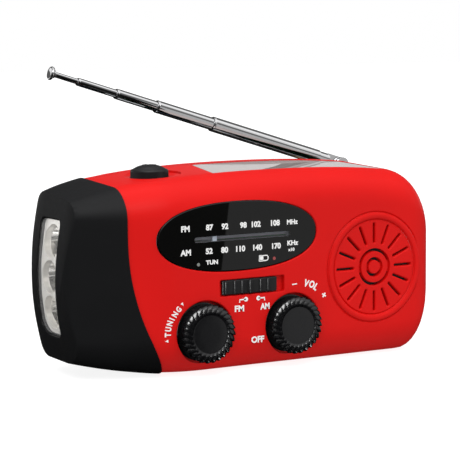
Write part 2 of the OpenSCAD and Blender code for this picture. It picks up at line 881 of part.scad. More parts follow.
module crank_screw() {
    color([0.8, 0.8, 0.8]) difference() {
        union() {
            rod_y(crank_at, 3.1, 27.65, 29.4);
            rod_y(crank_at, 1.48, 21, 28);
        }
        translate([crank_at[0] - 2, 28.6, crank_at[1] - 0.4]) cube([4, 2, 0.8]);
        translate([crank_at[0] - 0.4, 28.6, crank_at[1] - 2]) cube([0.8, 2, 4]);
    }
}

module crank_pin() {
    color([0.7, 0.7, 0.72]) translate([peg_x, peg_y, crank_at[1] - 6]) cylinder(r = 1, h = 12);
}

module crank_peg() {
    color([0.7, 0.7, 0.72]) translate([peg_x, peg_y, crank_at[1]]) difference() {
        union() {
            translate([0, 0, -3.2]) cylinder(r = 2.8, h = 6.4);
            rotate([0, 90, 0]) cylinder(r = 1.6, h = crank_knob_l + 3.7);
            translate([crank_knob_l + 3.7, 0, 0]) rotate([0, 90, 0]) cylinder(r = 2.6, h = 0.7);
        }
        translate([0, 0, -5]) cylinder(r = 1 + run, h = 10);
    }
}

module crank_knob() {
    color([0.14, 0.14, 0.15]) translate([peg_x + 3.4, peg_y, crank_at[1]]) rotate([0, 90, 0])
        difference() {
            cylinder(r = crank_knob_r, h = crank_knob_l);
            translate([0, 0, -1]) cylinder(r = 1.6 + run, h = crank_knob_l + 2);
        }
}

module gearbox_plate() {
    color([0.8, 0.8, 0.78]) difference() {
        translate([-3, plate_rear_y - plate_t, 25]) cube([49, plate_t, 22.3]);
        rod_y(crank_at, shaft_r + run, 10, 20);
        rod_y(idler_gear_at, 1, 10, 20);
        rod_y(generator_at, 1.5, 10, 20);
    }
}

module idler_axle() {
    color([0.7, 0.7, 0.72]) rod_y(idler_gear_at, 1, plate_rear_y - plate_t, 20.6);
}

module idler_gear() {
    color([0.93, 0.93, 0.9]) difference() {
        union() {
            gear(idler_gear_at, second_teeth, 0, second_gear_y, gear_t);
            rod_y(idler_gear_at, 2.2, second_gear_y + gear_t - 0.1, crank_gear_y + 0.1);
            gear(idler_gear_at, pinion_teeth, first_phase, crank_gear_y, gear_t);
        }
        rod_y(idler_gear_at, 1 + run, 10, 25);
    }
}

module generator() {
    color([0.7, 0.71, 0.73]) difference() {
        rod_y(generator_at, 10, 1.6, plate_rear_y - plate_t);
        rod_y(generator_at, 1 + run, 3, 20);
    }
}

module generator_pinion() {
    color([0.85, 0.75, 0.4]) {
        rod_y(generator_at, 1, 4, second_gear_y + gear_t + 0.6);
        gear(generator_at, pinion_teeth, second_phase, second_gear_y, gear_t);
    }
}

// ---- Ports ----

module port_cover() {
    hinge_z = port_z[1] - 1;
    wide = port_x[1] - port_x[0] - 0.6;
    color([0.13, 0.13, 0.14]) difference() {
        union() {
            translate([port_x[0] + 0.3, flap_y - flap_half_t, port_z[0] + 0.3])
                cube([wide, 2 * flap_half_t, hinge_z - port_z[0] - 0.3]);
            translate([port_x[0] + 0.3, flap_y, hinge_z]) rotate([0, 90, 0])
                cylinder(r = flap_half_t, h = wide);
        }
        translate([port_x[0] - 1, flap_y, hinge_z]) rotate([0, 90, 0])
            cylinder(r = 0.35 + run, h = wide + 4);
    }
}

module port_pin() {
    color([0.7, 0.7, 0.72]) translate([port_x[0] - 1, flap_y, port_z[1] - 1]) rotate([0, 90, 0])
        cylinder(r = 0.35, h = port_x[1] - port_x[0] + 2);
}

// A metal socket shell, open towards +Y, with a contact tongue inside
module socket(at, size, tongue) {
    color([0.75, 0.76, 0.78]) translate([at[0], 9, at[1]]) {
        difference() {
            cube([size[0], 12.4, size[1]]);
            translate([0.4, 1, 0.4]) cube([size[0] - 0.8, 12, size[1] - 0.8]);
        }
        translate([tongue[0], 0.5, tongue[1]]) cube([size[0] - 2 * tongue[0], 9, tongue[2]]);
    }
}

module usb_socket() {
    socket([-31, 36.4], [13.2, 6], [1, 3.4, 1.4]);
}

module charge_socket() {
    socket([-29, 29], [9, 3.4], [1.2, 1.3, 0.7]);
}

module port_board() {
    color([0.1, 0.42, 0.22]) translate([-35, 7.4, 27]) cube([20, 1.6, 18]);
}

module housing_screws() {
    color([0.25, 0.25, 0.27]) for (at = boss_at) difference() {
        union() {
            rod_y(at, 2.6, 14.05, 16);
            rod_y(at, 1.3, -2, 14.2);
        }
        translate([at[0] - 1.8, 15.1, at[1] - 0.35]) cube([3.6, 2, 0.7]);
        translate([at[0] - 0.35, 15.1, at[1] - 1.8]) cube([0.7, 2, 3.6]);
    }
}

front_shell();
rear_shell();
lamp_hood();
lamp_lens();
lamp_reflector();
lamp_leds();
lamp_board();
dial_window();
dial_plate();
dial_pointer();
dial_idler();
pointer_rail();
tuning_knob();
tuning_shaft();
tuning_capacitor();
volume_knob();
volume_shaft();
volume_pot();
band_slider();
band_switch();
dust_screen();
speaker_frame();
speaker_cone();
speaker_magnet();
main_board();
ferrite_rod();
ferrite_coil();
battery_cell();
solar_cover();
solar_panel();
lamp_button();
lamp_switch();
antenna_bush();
antenna_turret();
antenna_pin();
antenna_knuckle();
antenna_tube_1();
antenna_tube_2();
antenna_tube_3();
antenna_tube_4();
antenna_rod_5();
crank_bush();
crank_shaft();
crank_gear();
crank_arm();
crank_screw();
crank_pin();
crank_peg();
crank_knob();
gearbox_plate();
idler_axle();
idler_gear();
generator();
generator_pinion();
port_cover();
port_pin();
usb_socket();
charge_socket();
port_board();
housing_screws();
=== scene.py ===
"""Looks of the compact crank radio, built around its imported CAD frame.

Shapes are modelled in millimetres, in the frame's own axes, and scaled to metres once, in piece().
+X runs towards the speaker end, -Y out of the front face, +Z up.
"""

from math import atan2, copysign, cos, degrees, pi, radians, sin, sqrt

import bmesh
import bpy
import numpy as np
from mathutils import Matrix, Vector

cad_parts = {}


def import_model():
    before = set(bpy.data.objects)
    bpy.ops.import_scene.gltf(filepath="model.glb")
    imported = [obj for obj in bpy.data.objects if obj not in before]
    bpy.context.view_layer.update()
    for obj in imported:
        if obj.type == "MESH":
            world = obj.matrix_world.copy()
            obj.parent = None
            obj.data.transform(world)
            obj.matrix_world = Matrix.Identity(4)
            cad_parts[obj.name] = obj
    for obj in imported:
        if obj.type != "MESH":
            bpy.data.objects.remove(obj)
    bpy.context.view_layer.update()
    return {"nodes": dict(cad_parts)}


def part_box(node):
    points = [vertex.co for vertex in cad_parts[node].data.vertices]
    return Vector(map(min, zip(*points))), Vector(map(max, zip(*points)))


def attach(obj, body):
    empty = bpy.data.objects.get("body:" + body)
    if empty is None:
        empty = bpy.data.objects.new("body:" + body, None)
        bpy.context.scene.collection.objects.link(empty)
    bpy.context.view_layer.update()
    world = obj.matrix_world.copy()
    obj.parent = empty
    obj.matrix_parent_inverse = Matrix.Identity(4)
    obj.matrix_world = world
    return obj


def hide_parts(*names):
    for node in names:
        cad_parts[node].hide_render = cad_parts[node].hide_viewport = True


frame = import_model()
NODES = frame["nodes"]
M = 0.001  # one millimetre in metres


def corners(node):
    """Lowest and highest corner of a CAD node, in millimetres."""
    lo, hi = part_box(node)
    return np.array(lo) / M, np.array(hi) / M


def centre(node):
    lo, hi = corners(node)
    return (lo + hi) / 2


# ---- Measures taken from the frame ----

X_RIGHT = 60.7
X_LEFT = -62.9
HALF_D = corners("rear_shell")[1][1]
FRONT = -HALF_D
PARTING = corners("rear_shell")[0][1]
TUNING = centre("tuning_knob")[[0, 2]]
VOLUME = centre("volume_knob")[[0, 2]]
SPEAKER = centre("speaker_frame")[[0, 2]]
DIAL = centre("dial_window")[[0, 2]]
DIAL_HALF = (corners("dial_window")[1] - corners("dial_window")[0])[[0, 2]] / 2
BUTTON = centre("lamp_button")[:2]
CRANK = centre("crank_gear")[[0, 2]]
MAST = centre("antenna_pin")

# ---- Measures shared with the CAD that its boxes don't give ----

WALL = 2.0
WELL_R = 9.2
WELL_FLOOR = -19.8
LEDGE_Z = 52.4
LEDGE_WALL_Y = 11.5
BAND_FLOOR = -21.5
STEM = (-11.1, -6.1, 24.1, 26.5)  # low x, high x, low z, high z
BEAD_R = 15.6
BEAD_HALF_W = 0.95
SCREWS = ((54, 12), (54, 43), (-42, 46), (29, 5.8))
SCREW_HOLE_R = 2.8
SHAFT_HOLE_R = 3.8
CRANK_HOLE_R = 5.06
MAST_HOLE_R = 3.06
JOINT_GAP = 0.08  # half the gap between the front and rear shells
HOOD_GAP = -0.6  # how far the shells reach under the hood's edge
FAR = 90  # beyond the case on every side

# ---- Outline of the case: the same rules as the CAD ----

MID_Z = 28.0
HEAD_TAPER = 11.6
TAPER_X = -34.0
EDGE_X = -42.0
END_DOME = 3.5
TOP_ROUND, LOW_ROUND, SIDE_ROUND = 17.0, 12.5, 13.0
BODY_SLANT, HEAD_SLANT, SLANT_Y = 0.035, 0.134, 7.0


def part01(t):
    return min(1.0, max(0.0, t))


def rounding(t, n):
    return max(0.0, 1 - part01(t) ** n) ** (1 / n)


def top_line(x):
    return 59.0 - 0.00026 * abs(x - 4) ** 2.4 - 0.0075 * max(0.0, -44 - x) ** 1.5


def bottom_line(x):
    return 0.0033 * (-20 - x) ** 2 if x < -20 else 0.0


def left_end(x):
    return sqrt(part01((x - X_LEFT) / END_DOME))


def top_end(x):
    return rounding((x - X_RIGHT + TOP_ROUND) / TOP_ROUND, 2.25) if x > 0 else left_end(x)


def crown_z(x, y):
    """Height of the top of the case, behind its rounded front edge."""
    return MID_Z + (top_line(x) - MID_Z) * top_end(x) + BODY_SLANT * (y - SLANT_Y)


def half_depth(x):
    if x > 0:
        return HALF_D * rounding((x - X_RIGHT + SIDE_ROUND) / SIDE_ROUND, 2.5)
    taper = HEAD_TAPER * part01((TAPER_X - x) / (TAPER_X - X_LEFT)) ** 1.4
    return HALF_D - taper - 2 * (1 - rounding((X_LEFT + 2 - x) / 2, 2))


def section(x, inset, arc, flat):
    """One closed section of the case at x, drawn inside the outline by inset."""
    end = X_RIGHT if x > 0 else -X_LEFT
    xe = x * end / (end - inset)
    up = top_end(xe)
    down = rounding((xe - X_RIGHT + LOW_ROUND) / LOW_ROUND, 1.85) if xe > 0 else left_end(xe)
    zt = MID_Z + (top_line(xe) - MID_Z) * up - inset
    zb = MID_Z - (MID_Z - bottom_line(xe)) * down + inset
    hy = half_depth(xe) - inset
    most = 0.92 * min(hy, (zt - zb) / 2)
    tight = part01((EDGE_X - xe) / (EDGE_X - X_LEFT))
    front_r = min(10 - 6.5 * tight - inset, most)
    other_r = min(10.5 - 4.5 * tight - inset, most)
    slant = BODY_SLANT + (HEAD_SLANT - BODY_SLANT) * tight
    bends = [
        (hy - other_r, zt - other_r, other_r, 0),
        (front_r - hy, zt - front_r, front_r, 90),
        (other_r - hy, zb + other_r, other_r, 180),
        (hy - other_r, zb + other_r, other_r, 270),
    ]
    ring = []
    for k, (y, z, r, start) in enumerate(bends):
        for i in range(arc + 1):
            a = radians(start + 90 * i / arc)
            ring.append((y + r * cos(a), z + r * sin(a)))
        ny, nz, nr, nstart = bends[(k + 1) % 4]
        a = radians(nstart)
        nxt = (ny + nr * cos(a), nz + nr * sin(a))
        last = ring[-1]
        for i in range(1, flat):
            f = i / flat
            ring.append((last[0] + (nxt[0] - last[0]) * f, last[1] + (nxt[1] - last[1]) * f))
    return [(x, y, z + slant * (y - SLANT_Y) * part01((z - MID_Z) / (zt - MID_Z))) for y, z in ring]


def stations(inset, ends, middle):
    """Places along X where the case is cut into sections, close together at the rounded ends."""
    tip = X_LEFT + inset + 0.02 + 0.1 * max(0, inset)
    left = [tip + END_DOME * (1 - cos(pi / 2 * i / ends)) for i in range(ends)]
    run = np.linspace(tip + END_DOME, X_RIGHT - inset - TOP_ROUND, middle + 1)[:-1]
    right = [X_RIGHT - inset - 0.02 - TOP_ROUND * (1 - sin(pi / 2 * i / ends))
             for i in range(ends + 1)]
    return left + list(run) + right


# Steps round each corner and along each flat, then at each end and along the middle
FINE, MEDIUM, COARSE = (9, 14, 20, 80), (6, 6, 12, 16), (4, 3, 6, 16)


def case_solid(name, inset=0.0, grade=FINE):
    """The whole outline as one closed solid, drawn inside by inset."""
    arc, flat, ends, middle = grade
    return skin(name, [section(x, inset, arc, flat) for x in stations(inset, ends, middle)])


def head_edge(z):
    """X of the line where the lamp hood ends, at height z."""
    return -46.5 + 10.5 * max(0.0, (42 - z) / 39) ** 2.2


# ---- Mesh helpers ----


def linked(name, data):
    """A new object that is in the scene."""
    ob = bpy.data.objects.new(name, data)
    bpy.context.scene.collection.objects.link(ob)
    return ob


def new_object(name, verts, faces):
    mesh = bpy.data.meshes.new(name)
    mesh.from_pydata([tuple(map(float, v)) for v in verts], [], [tuple(f) for f in faces])
    mesh.validate()
    ob = linked(name, mesh)
    bm = bmesh.new()
    bm.from_mesh(mesh)
    bmesh.ops.recalc_face_normals(bm, faces=bm.faces)
    bm.to_mesh(mesh)
    bm.free()
    return ob


def skin(name, rings, caps=True, closed=False):
    """A surface through rings of equal length. closed joins the last ring to the first."""
    n, last = len(rings[0]), len(rings) - 1
    verts = [p for ring in rings for p in ring]
    faces = []
    for i in range(last + (1 if closed else 0)):
        a0, b0 = i * n, ((i + 1) % (last + 1)) * n
        for j in range(n):
            k = (j + 1) % n
            faces.append((a0 + j, b0 + j, b0 + k, a0 + k))
    if caps and not closed:
        faces += [tuple(range(n))[::-1], tuple(last * n + j for j in range(n))]
    return new_object(name, verts, faces)


def welded(ob, gap, sliver):
    """Joins corners closer than gap and drops faces thinner than sliver."""
    bm = bmesh.new()
    bm.from_mesh(ob.data)
    bmesh.ops.remove_doubles(bm, verts=bm.verts, dist=gap)
    bmesh.ops.dissolve_degenerate(bm, edges=bm.edges, dist=sliver)
    bmesh.ops.recalc_face_normals(bm, faces=bm.faces)
    bm.to_mesh(ob.data)
    bm.free()
    return ob


def lathe(name, profile, at=(0, 0, 0), axis="Y", steps=96, shape=None, lift=None):
    """Turns (radius, height) points about an axis through at.

    shape(angle, radius, height) may change the radius, and lift(angle, radius, height) the height.
    """
    rings = []
    for r, h in profile:
        ring = []
        for j in range(steps):
            a = 2 * pi * j / steps
            rr = max(r, 1e-4) if shape is None else max(shape(a, r, h), 1e-4)
            c, s = rr * cos(a), rr * sin(a)
            hh = h if lift is None else lift(a, r, h)
            p = {"Y": (c, hh, s), "Z": (c, s, hh), "X": (hh, c, s)}[axis]
            ring.append((p[0] + at[0], p[1] + at[1], p[2] + at[2]))
        rings.append(ring)
    return welded(skin(name, rings), 0.002, 0.001)


def prism_y(name, outline, y0, y1):
    """An XZ outline drawn along Y."""
    return skin(name, [[(x, y0, z) for x, z in outline], [(x, y1, z) for x, z in outline]])


def slab(name, lo, hi):
    (x0, y0, z0), (x1, y1, z1) = lo, hi
    return prism_y(name, [(x0, z0), (x1, z0), (x1, z1), (x0, z1)], y0, y1)


def superellipse(centre_xz, half, power=2.25, count=160):
    out = []
    for i in range(count):
        a = 2 * pi * i / count
        c, s = cos(a), sin(a)
        out.append((
            centre_xz[0] + half[0] * copysign(abs(c) ** (2 / power), c),
            centre_xz[1] + half[1] * copysign(abs(s) ** (2 / power), s),
        ))
    return out


def round_rect(x0, x1, z0, z1, r, steps=6, last_r=None):
    """A rectangle with rounded corners. The corner at high x and low z may have its own radius, last_r."""
    out = []
    q = last_r or r
    bends = ((x1 - r, z1 - r, r, 0), (x0 + r, z1 - r, r, 90), (x0 + r, z0 + r, r, 180),
             (x1 - q, z0 + q, q, 270))
    for cx, cz, bend_r, start in bends:
        for i in range(steps + 1):
            a = radians(start + 90 * i / steps)
            out.append((cx + bend_r * cos(a), cz + bend_r * sin(a)))
    return out


def flare(rim, reach=0.6):
    """(grow, depth) steps of a cutter whose mouth opens in a round of radius rim at the surface."""
    steps = [(rim, -reach), (rim, -0.02)]
    for i in range(1, 6):
        a = pi / 2 * i / 5
        steps.append((rim * (1 - sin(a)), rim * (1 - cos(a))))
    return steps


def flared_cut(name, outline_of, surface_y, floor_y, rim):
    """A cutter for a recess in the front or back face, with a rounded mouth.

    outline_of(grow) gives the XZ outline.
    """
    inward = 1 if floor_y > surface_y else -1
    rings = []
    for grow, depth in flare(rim):
        rings.append([(x, surface_y + inward * depth, z) for x, z in outline_of(grow)])
    rings.append([(x, floor_y, z) for x, z in outline_of(0)])
    return skin(name, rings)


def applied(ob):
    """Makes the modifiers' result the object's own mesh."""
    mesh = bpy.data.meshes.new_from_object(ob.evaluated_get(bpy.context.evaluated_depsgraph_get()))
    ob.modifiers.clear()
    ob.data = mesh
    return ob


def bore(name, r, start, end, at, axis="Y", steps=48):
    """A plain round cutter from start to end along axis."""
    return lathe(name, [(0, start), (r, start), (r, end), (0, end)], at, axis, steps)


def flared_bore(name, r, surface_y, floor_y, rim, at, steps):
    """A round cutter in the front or back face, with a rounded mouth."""
    inward = 1 if floor_y > surface_y else -1
    profile = [(0, surface_y - inward * 0.6)]
    profile += [(r + grow, surface_y + inward * depth) for grow, depth in flare(rim)]
    return lathe(name, profile + [(r, floor_y), (0, floor_y)], at, steps=steps)


def boolean(target, cutters, operation="DIFFERENCE"):
    """Applies the cutters to target and removes them."""
    for cutter in cutters:
        mod = target.modifiers.new("cut", "BOOLEAN")
        mod.operation, mod.solver, mod.object = operation, "MANIFOLD", cutter
    applied(target)
    for cutter in cutters:
        bpy.data.objects.remove(cutter)
    return target


def cad_copy(node, name):
    """An editable copy of a CAD node's mesh, in millimetres, with its corners welded."""
    ob = linked(name, NODES[node].data.copy())
    ob.data.materials.clear()
    ob.data.transform(Matrix.Scale(1 / M, 4))
    bm = bmesh.new()
    bm.from_mesh(ob.data)
    bmesh.ops.remove_doubles(bm, verts=bm.verts, dist=0.001)
    bmesh.ops.dissolve_limit(bm, angle_limit=radians(1), verts=bm.verts, edges=bm.edges)
    bm.to_mesh(ob.data)
    bm.free()
    return ob


def bevelled(ob, width, angle=35, segments=3):
    mod = ob.modifiers.new("edge", "BEVEL")
    mod.width, mod.segments, mod.limit_method = width, segments, "ANGLE"
    mod.angle_limit = radians(angle)
    mod.harden_normals = False
    return applied(ob)


def piece(ob, body, mat, replaces=(), angle=38):
    """Finishes a piece: metres, smooth shading, material, its body and the CAD nodes it stands for."""
    ob.data.transform(Matrix.Scale(M, 4))
    mesh = ob.data
    mesh.shade_smooth()
    mesh.set_sharp_from_angle(angle=radians(angle))
    mesh.materials.clear()
    mesh.materials.append(mat)
    ob.modifiers.new("normals", "WEIGHTED_NORMAL").keep_sharp = True
    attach(ob, body)
    if replaces:
        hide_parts(*replaces)
    return ob


def join(name, obs):
    """One object from several, without touching their shapes."""
    bm = bmesh.new()
    for ob in obs:
        mesh = ob.data.copy()
        mesh.transform(ob.matrix_world)
        bm.from_mesh(mesh)
        bpy.data.objects.remove(ob)
    mesh = bpy.data.meshes.new(name)
    bm.to_mesh(mesh)
    bm.free()
    return linked(name, mesh)


# ---- Materials ----


class Nodes:
    """A short way to wire a procedural Principled material."""

    def __init__(self, name):
        self.mat = bpy.data.materials.new(name)
        self.mat.use_nodes = True
        self.tree = self.mat.node_tree
        self.bsdf = self.tree.nodes["Principled BSDF"]
        self.coord = self.tree.nodes.new("ShaderNodeTexCoord").outputs["Object"]

    def node(self, kind, **values):
        n = self.tree.nodes.new("ShaderNode" + kind)
        for key, value in values.items():
            if key in n.inputs:
                n.inputs[key].default_value = value
            else:
                setattr(n, key, value)
        return n

    def link(self, a, b):
        self.tree.links.new(a, b)

    def set(self, **values):
        for key, value in values.items():
            self.bsdf.inputs[key.replace("_", " ")].default_value = value

    def noise(self, scale, detail=3.0, rough=0.5, stretch=None):
        n = self.node("TexNoise", Scale=scale, Detail=detail, Roughness=rough)
        source = self.coord
        if stretch:
            m = self.node("Mapping")
            m.inputs["Scale"].default_value = stretch
            self.link(source, m.inputs["Vector"])
            source = m.outputs["Vector"]
        self.link(source, n.inputs["Vector"])
        return n.outputs["Fac"]

    def ramp(self, fac, low, high, a=0.0, b=1.0):
        """Maps fac from a..b to low..high."""
        n = self.node("MapRange")
        for key, value in (("From Min", a), ("From Max", b), ("To Min", low), ("To Max", high)):
            n.inputs[key].default_value = value
        self.link(fac, n.inputs["Value"])
        return n.outputs["Result"]

    def colour(self, fac, low, high, a=0.3, b=0.7):
        n = self.node("ValToRGB")
        n.color_ramp.elements[0].position, n.color_ramp.elements[1].position = a, b
        n.color_ramp.elements[0].color = (*low, 1)
        n.color_ramp.elements[1].color = (*high, 1)
        self.link(fac, n.inputs["Fac"])
        self.link(n.outputs["Color"], self.bsdf.inputs["Base Color"])
        return n

    def bump(self, height, strength, distance, after=None):
        n = self.node("Bump", Strength=strength, Distance=distance)
        self.link(height, n.inputs["Height"])
        if after is not None:
            self.link(after, n.inputs["Normal"])
        self.link(n.outputs["Normal"], self.bsdf.inputs["Normal"])
        return n.outputs["Normal"]


def shade(rgb, k):
    return tuple(min(1.0, c * k) for c in rgb)


def plastic(name, rgb, rough, grain=2600, depth=0.00002, strength=0.25, vary=0.05, **more):
    """Moulded plastic: fine spark-eroded grain, slow colour drift and uneven gloss."""
    n = Nodes(name)
    n.colour(n.noise(38, 4), shade(rgb, 1 - vary), shade(rgb, 1 + vary))
    n.link(n.ramp(n.noise(900, 2), rough - 0.04, rough + 0.05), n.bsdf.inputs["Roughness"])
    n.bump(n.noise(grain, 2, 0.6), strength, depth)
    n.set(**more)
    return n.mat


def metal(name, rgb, rough, stretch=(1, 1, 1), scratch=900, depth=0.000004, vary=0.04):
    """Metal with fine drawn or turned marks along one direction."""
    n = Nodes(name)
    marks = n.noise(scratch, 3, 0.6, stretch)
    n.colour(n.noise(60, 3), shade(rgb, 1 - vary), shade(rgb, 1 + vary))
    n.link(n.ramp(marks, rough * 0.7, rough * 1.4), n.bsdf.inputs["Roughness"])
    n.bump(marks, 0.2, depth)
    n.set(Metallic=1.0)
    return n.mat


def clear(name, rgb, alpha, rough=0.03):
    n = Nodes(name)
    n.colour(n.noise(120, 2), shade(rgb, 0.97), rgb)
    n.link(n.ramp(n.noise(500, 2), rough, rough + 0.03), n.bsdf.inputs["Roughness"])
    n.set(Alpha=alpha, IOR=1.5)
    return n.mat


def board(name):
    """Solder mask with copper tracks showing through."""
    n = Nodes(name)
    brick = n.node("TexBrick", Scale=160.0)
    brick.inputs["Color1"].default_value = (0.01, 0.16, 0.06, 1)
    brick.inputs["Color2"].default_value = (0.015, 0.2, 0.08, 1)
    brick.inputs["Mortar"].default_value = (0.03, 0.32, 0.13, 1)
    n.link(n.coord, brick.inputs["Vector"])
    n.link(brick.outputs["Color"], n.bsdf.inputs["Base Color"])
    n.bump(brick.outputs["Fac"], 0.3, 0.00003)
    n.link(n.ramp(n.noise(700, 2), 0.3, 0.45), n.bsdf.inputs["Roughness"])
    return n.mat


def solar_face(name):
    """The panel under its cover: pale, with faint cell strips across it."""
    n = Nodes(name)
    wave = n.node("TexWave", Scale=95.0, Distortion=0.0)
    n.link(n.coord, wave.inputs["Vector"])
    n.colour(wave.outputs["Fac"], (0.02, 0.02, 0.04), (0.05, 0.045, 0.07), 0.05, 0.12)
    n.link(n.ramp(n.noise(300, 2), 0.2, 0.3), n.bsdf.inputs["Roughness"])
    return n.mat


RED = plastic("red_abs", (0.7, 0.005, 0.004), 0.42, vary=0.04, Specular_IOR_Level=0.15)
SOFT_BLACK = plastic("soft_touch_black", (0.006, 0.0062, 0.007), 0.55, grain=3800, strength=0.2, vary=0.12,
                     Specular_IOR_Level=0.3)
BLACK = plastic("moulded_black", (0.011, 0.011, 0.012), 0.42, grain=3000, vary=0.1)
KNOB_BLACK = plastic("knob_black", (0.0055, 0.0055, 0.0065), 0.24, grain=3400, vary=0.1,
                     Specular_IOR_Level=0.6)
DIAL_BLACK = plastic("dial_black", (0.003, 0.003, 0.0027), 0.5, grain=1500, strength=0.0, vary=0.1,
                     Specular_IOR_Level=0.05, Coat_Weight=1.0, Coat_Roughness=0.02, Coat_IOR=1.5)
INK = plastic("white_ink", (0.96, 0.96, 0.95), 0.5, grain=5000, vary=0.02)
CHROME = metal("chrome_tube", (0.88, 0.88, 0.89), 0.03, (0.02, 1, 1), 1500)
STEEL = metal("zinc_steel", (0.55, 0.56, 0.58), 0.3, (1, 1, 0.1), 1200)
BRASS = metal("turned_brass", (0.72, 0.5, 0.22), 0.28, (1, 0.1, 1), 1200)
COPPER = metal("enamelled_copper", (0.6, 0.22, 0.08), 0.3, (30, 1, 1), 900)
DARK_STEEL = metal("black_oxide", (0.08, 0.08, 0.085), 0.35, (1, 0.2, 1), 1200)
MIRROR = plastic("metallised", (0.9, 0.89, 0.87), 0.1, grain=700, strength=0.1, vary=0.05, Metallic=1.0)
BEZEL = plastic("silvered_bezel", (0.84, 0.82, 0.78), 0.22, grain=500, strength=0.5, depth=0.0001, vary=0.08,
               Metallic=0.6)
LENS = clear("lens_clear", (0.9, 0.9, 0.9), 0.1)
WINDOW = clear("window_clear", (0.5, 0.5, 0.5), 0.06)
SOLAR_COVER = plastic("solar_cover_grey", (0.33, 0.28, 0.27), 0.5, grain=600, strength=0.03, vary=0.03,
                      Coat_Weight=0.7, Coat_Roughness=0.03, Coat_IOR=1.6)
LED = plastic("led_epoxy", (0.9, 0.86, 0.6), 0.12, grain=900, strength=0.03, Coat_Weight=1.0)
BOARD = board("solder_mask")
SOLAR = solar_face("solar_cells")
FERRITE = plastic("ferrite", (0.035, 0.035, 0.04), 0.55, grain=1800, strength=0.6)
PAPER = plastic("cone_paper", (0.02, 0.02, 0.02), 0.8, grain=1600, strength=0.8)
ACETAL = plastic("acetal", (0.8, 0.79, 0.74), 0.35)
CREAM = plastic("capacitor_case", (0.62, 0.58, 0.46), 0.3)
BLUE_WRAP = plastic("cell_sleeve", (0.03, 0.15, 0.45), 0.25, Coat_Weight=0.6)
POINTER = plastic("pointer", (0.75, 0.84, 1.0), 0.25, Coat_Weight=0.8)
SLOT_GREY = plastic("slot_backing", (0.24, 0.25, 0.29), 0.5, grain=1500)
DOT_GREY = plastic("dot_grey", (0.25, 0.27, 0.25), 0.3, Coat_Weight=1.0)
DOT_RED = plastic("dot_red", (0.35, 0.05, 0.05), 0.3, Coat_Weight=1.0)

# ---- Shells ----


def body_blank():
    return boolean(case_solid("outer"), [case_solid("inner", WALL, COARSE)])


def head_block(shift):
    """A block that covers the lamp end, up to its swept edge moved by shift."""
    zs = np.linspace(-6, 42, 40)
    outline = [(head_edge(z) + shift, z) for z in zs]
    outline += [(head_edge(60) + shift, 80), (-90, 80), (-90, -6)]
    return prism_y("head_block", outline, -60, 60)


def speaker_ring(name, profile, steps):
    """A closed ring about the speaker's axis, from (radius, y) points."""
    rings = []
    for j in range(steps):
        a = 2 * pi * j / steps
        rings.append([(SPEAKER[0] + r * cos(a), y, SPEAKER[1] + r * sin(a)) for r, y in profile])
    return skin(name, rings, closed=True)


def grille_cutters():
    cutters = []
    sx, sz = SPEAKER
    for i in range(16):
        a = 2 * pi * i / 16
        ca, sa = cos(a), sin(a)

        def capsule(grow, ca=ca, sa=sa):
            pts = round_rect(7.3 - grow, 13.4 + grow, -0.36 - grow, 0.36 + grow, 0.36 + grow - 0.001, 5)
            return [(sx + u * ca - v * sa, sz + u * sa + v * ca) for u, v in pts]

        cutters.append(flared_cut("slot", capsule, FRONT, FRONT + 3.2, 0.5))
    for radius, span in ((5.2, 72), (2.5, 66)):
        groove = [(radius - 0.75, -0.6), (radius - 0.75, -0.02), (radius - 0.5, 0.06), (radius - 0.45, 0.9),
                  (radius + 0.45, 0.9), (radius + 0.5, 0.06), (radius + 0.75, -0.02), (radius + 0.75, -0.6)]
        cutters.append(speaker_ring("ring_groove", [(r, FRONT + d) for r, d in groove], 96))
        for middle in (90, 270):
            inner, outer = [], []
            for j in range(25):
                a = radians(middle - span + 2 * span * j / 24)
                inner.append((sx + (radius - 0.42) * cos(a), sz + (radius - 0.42) * sin(a)))
                outer.append((sx + (radius + 0.42) * cos(a), sz + (radius + 0.42) * sin(a)))
            cutters.append(prism_y("ring_slot", inner + outer[::-1], FRONT + 0.5, FRONT + 3.2))
    for radius in (14.45, 16.75):
        groove = [(radius - 0.35, -0.4), (radius - 0.35, -0.02), (radius, 0.35), (radius + 0.35, -0.02),
                  (radius + 0.35, -0.4)]
        cutters.append(speaker_ring("bead_groove", [(r, FRONT + d) for r, d in groove], 160))
    return cutters


def grille_bead():
    """The rounded bead round the grille."""
    proud, root = 0.5, 0.8
    profile = [(BEAD_R + BEAD_HALF_W * cos(t), FRONT - proud * sin(t))
               for t in np.linspace(0, pi, 13)]
    profile += [(BEAD_R - BEAD_HALF_W, FRONT + root), (BEAD_R + BEAD_HALF_W, FRONT + root)]
    return speaker_ring("bead", profile, 160)


def solar_outline(grow):
    lo, hi = corners("solar_cover")
    skew = 4.0
    return [(lo[0] - grow, lo[1] - grow), (hi[0] + grow, lo[1] - grow),
            (hi[0] - skew + grow, hi[1] + grow), (lo[0] + skew - grow, hi[1] + grow)]


def crown_plate(name, grow, above, under, rim=0.0, steps=40):
    """A plate over the solar panel's plan that follows the crown of the case."""
    (ax, ay), (bx, _), (cx, _), (dx, dy) = solar_outline(grow)
    layers = [(0.0, -under), (0.0, above - rim), (rim, above)] if rim else [(0.0, -under), (0.0, above)]
    rings = []
    for shrink, lift in layers:
        ring = []
        for f in np.linspace(0, 1, steps):
            x = ax + shrink + (bx - ax - 2 * shrink) * f
            ring.append((x, ay + shrink, crown_z(x, ay) + lift))
        for f in np.linspace(1, 0, steps):
            x = dx + shrink + (cx - dx - 2 * shrink) * f
            ring.append((x, dy - shrink, crown_z(x, dy) + lift))
        rings.append(ring)
    return skin(name, rings)


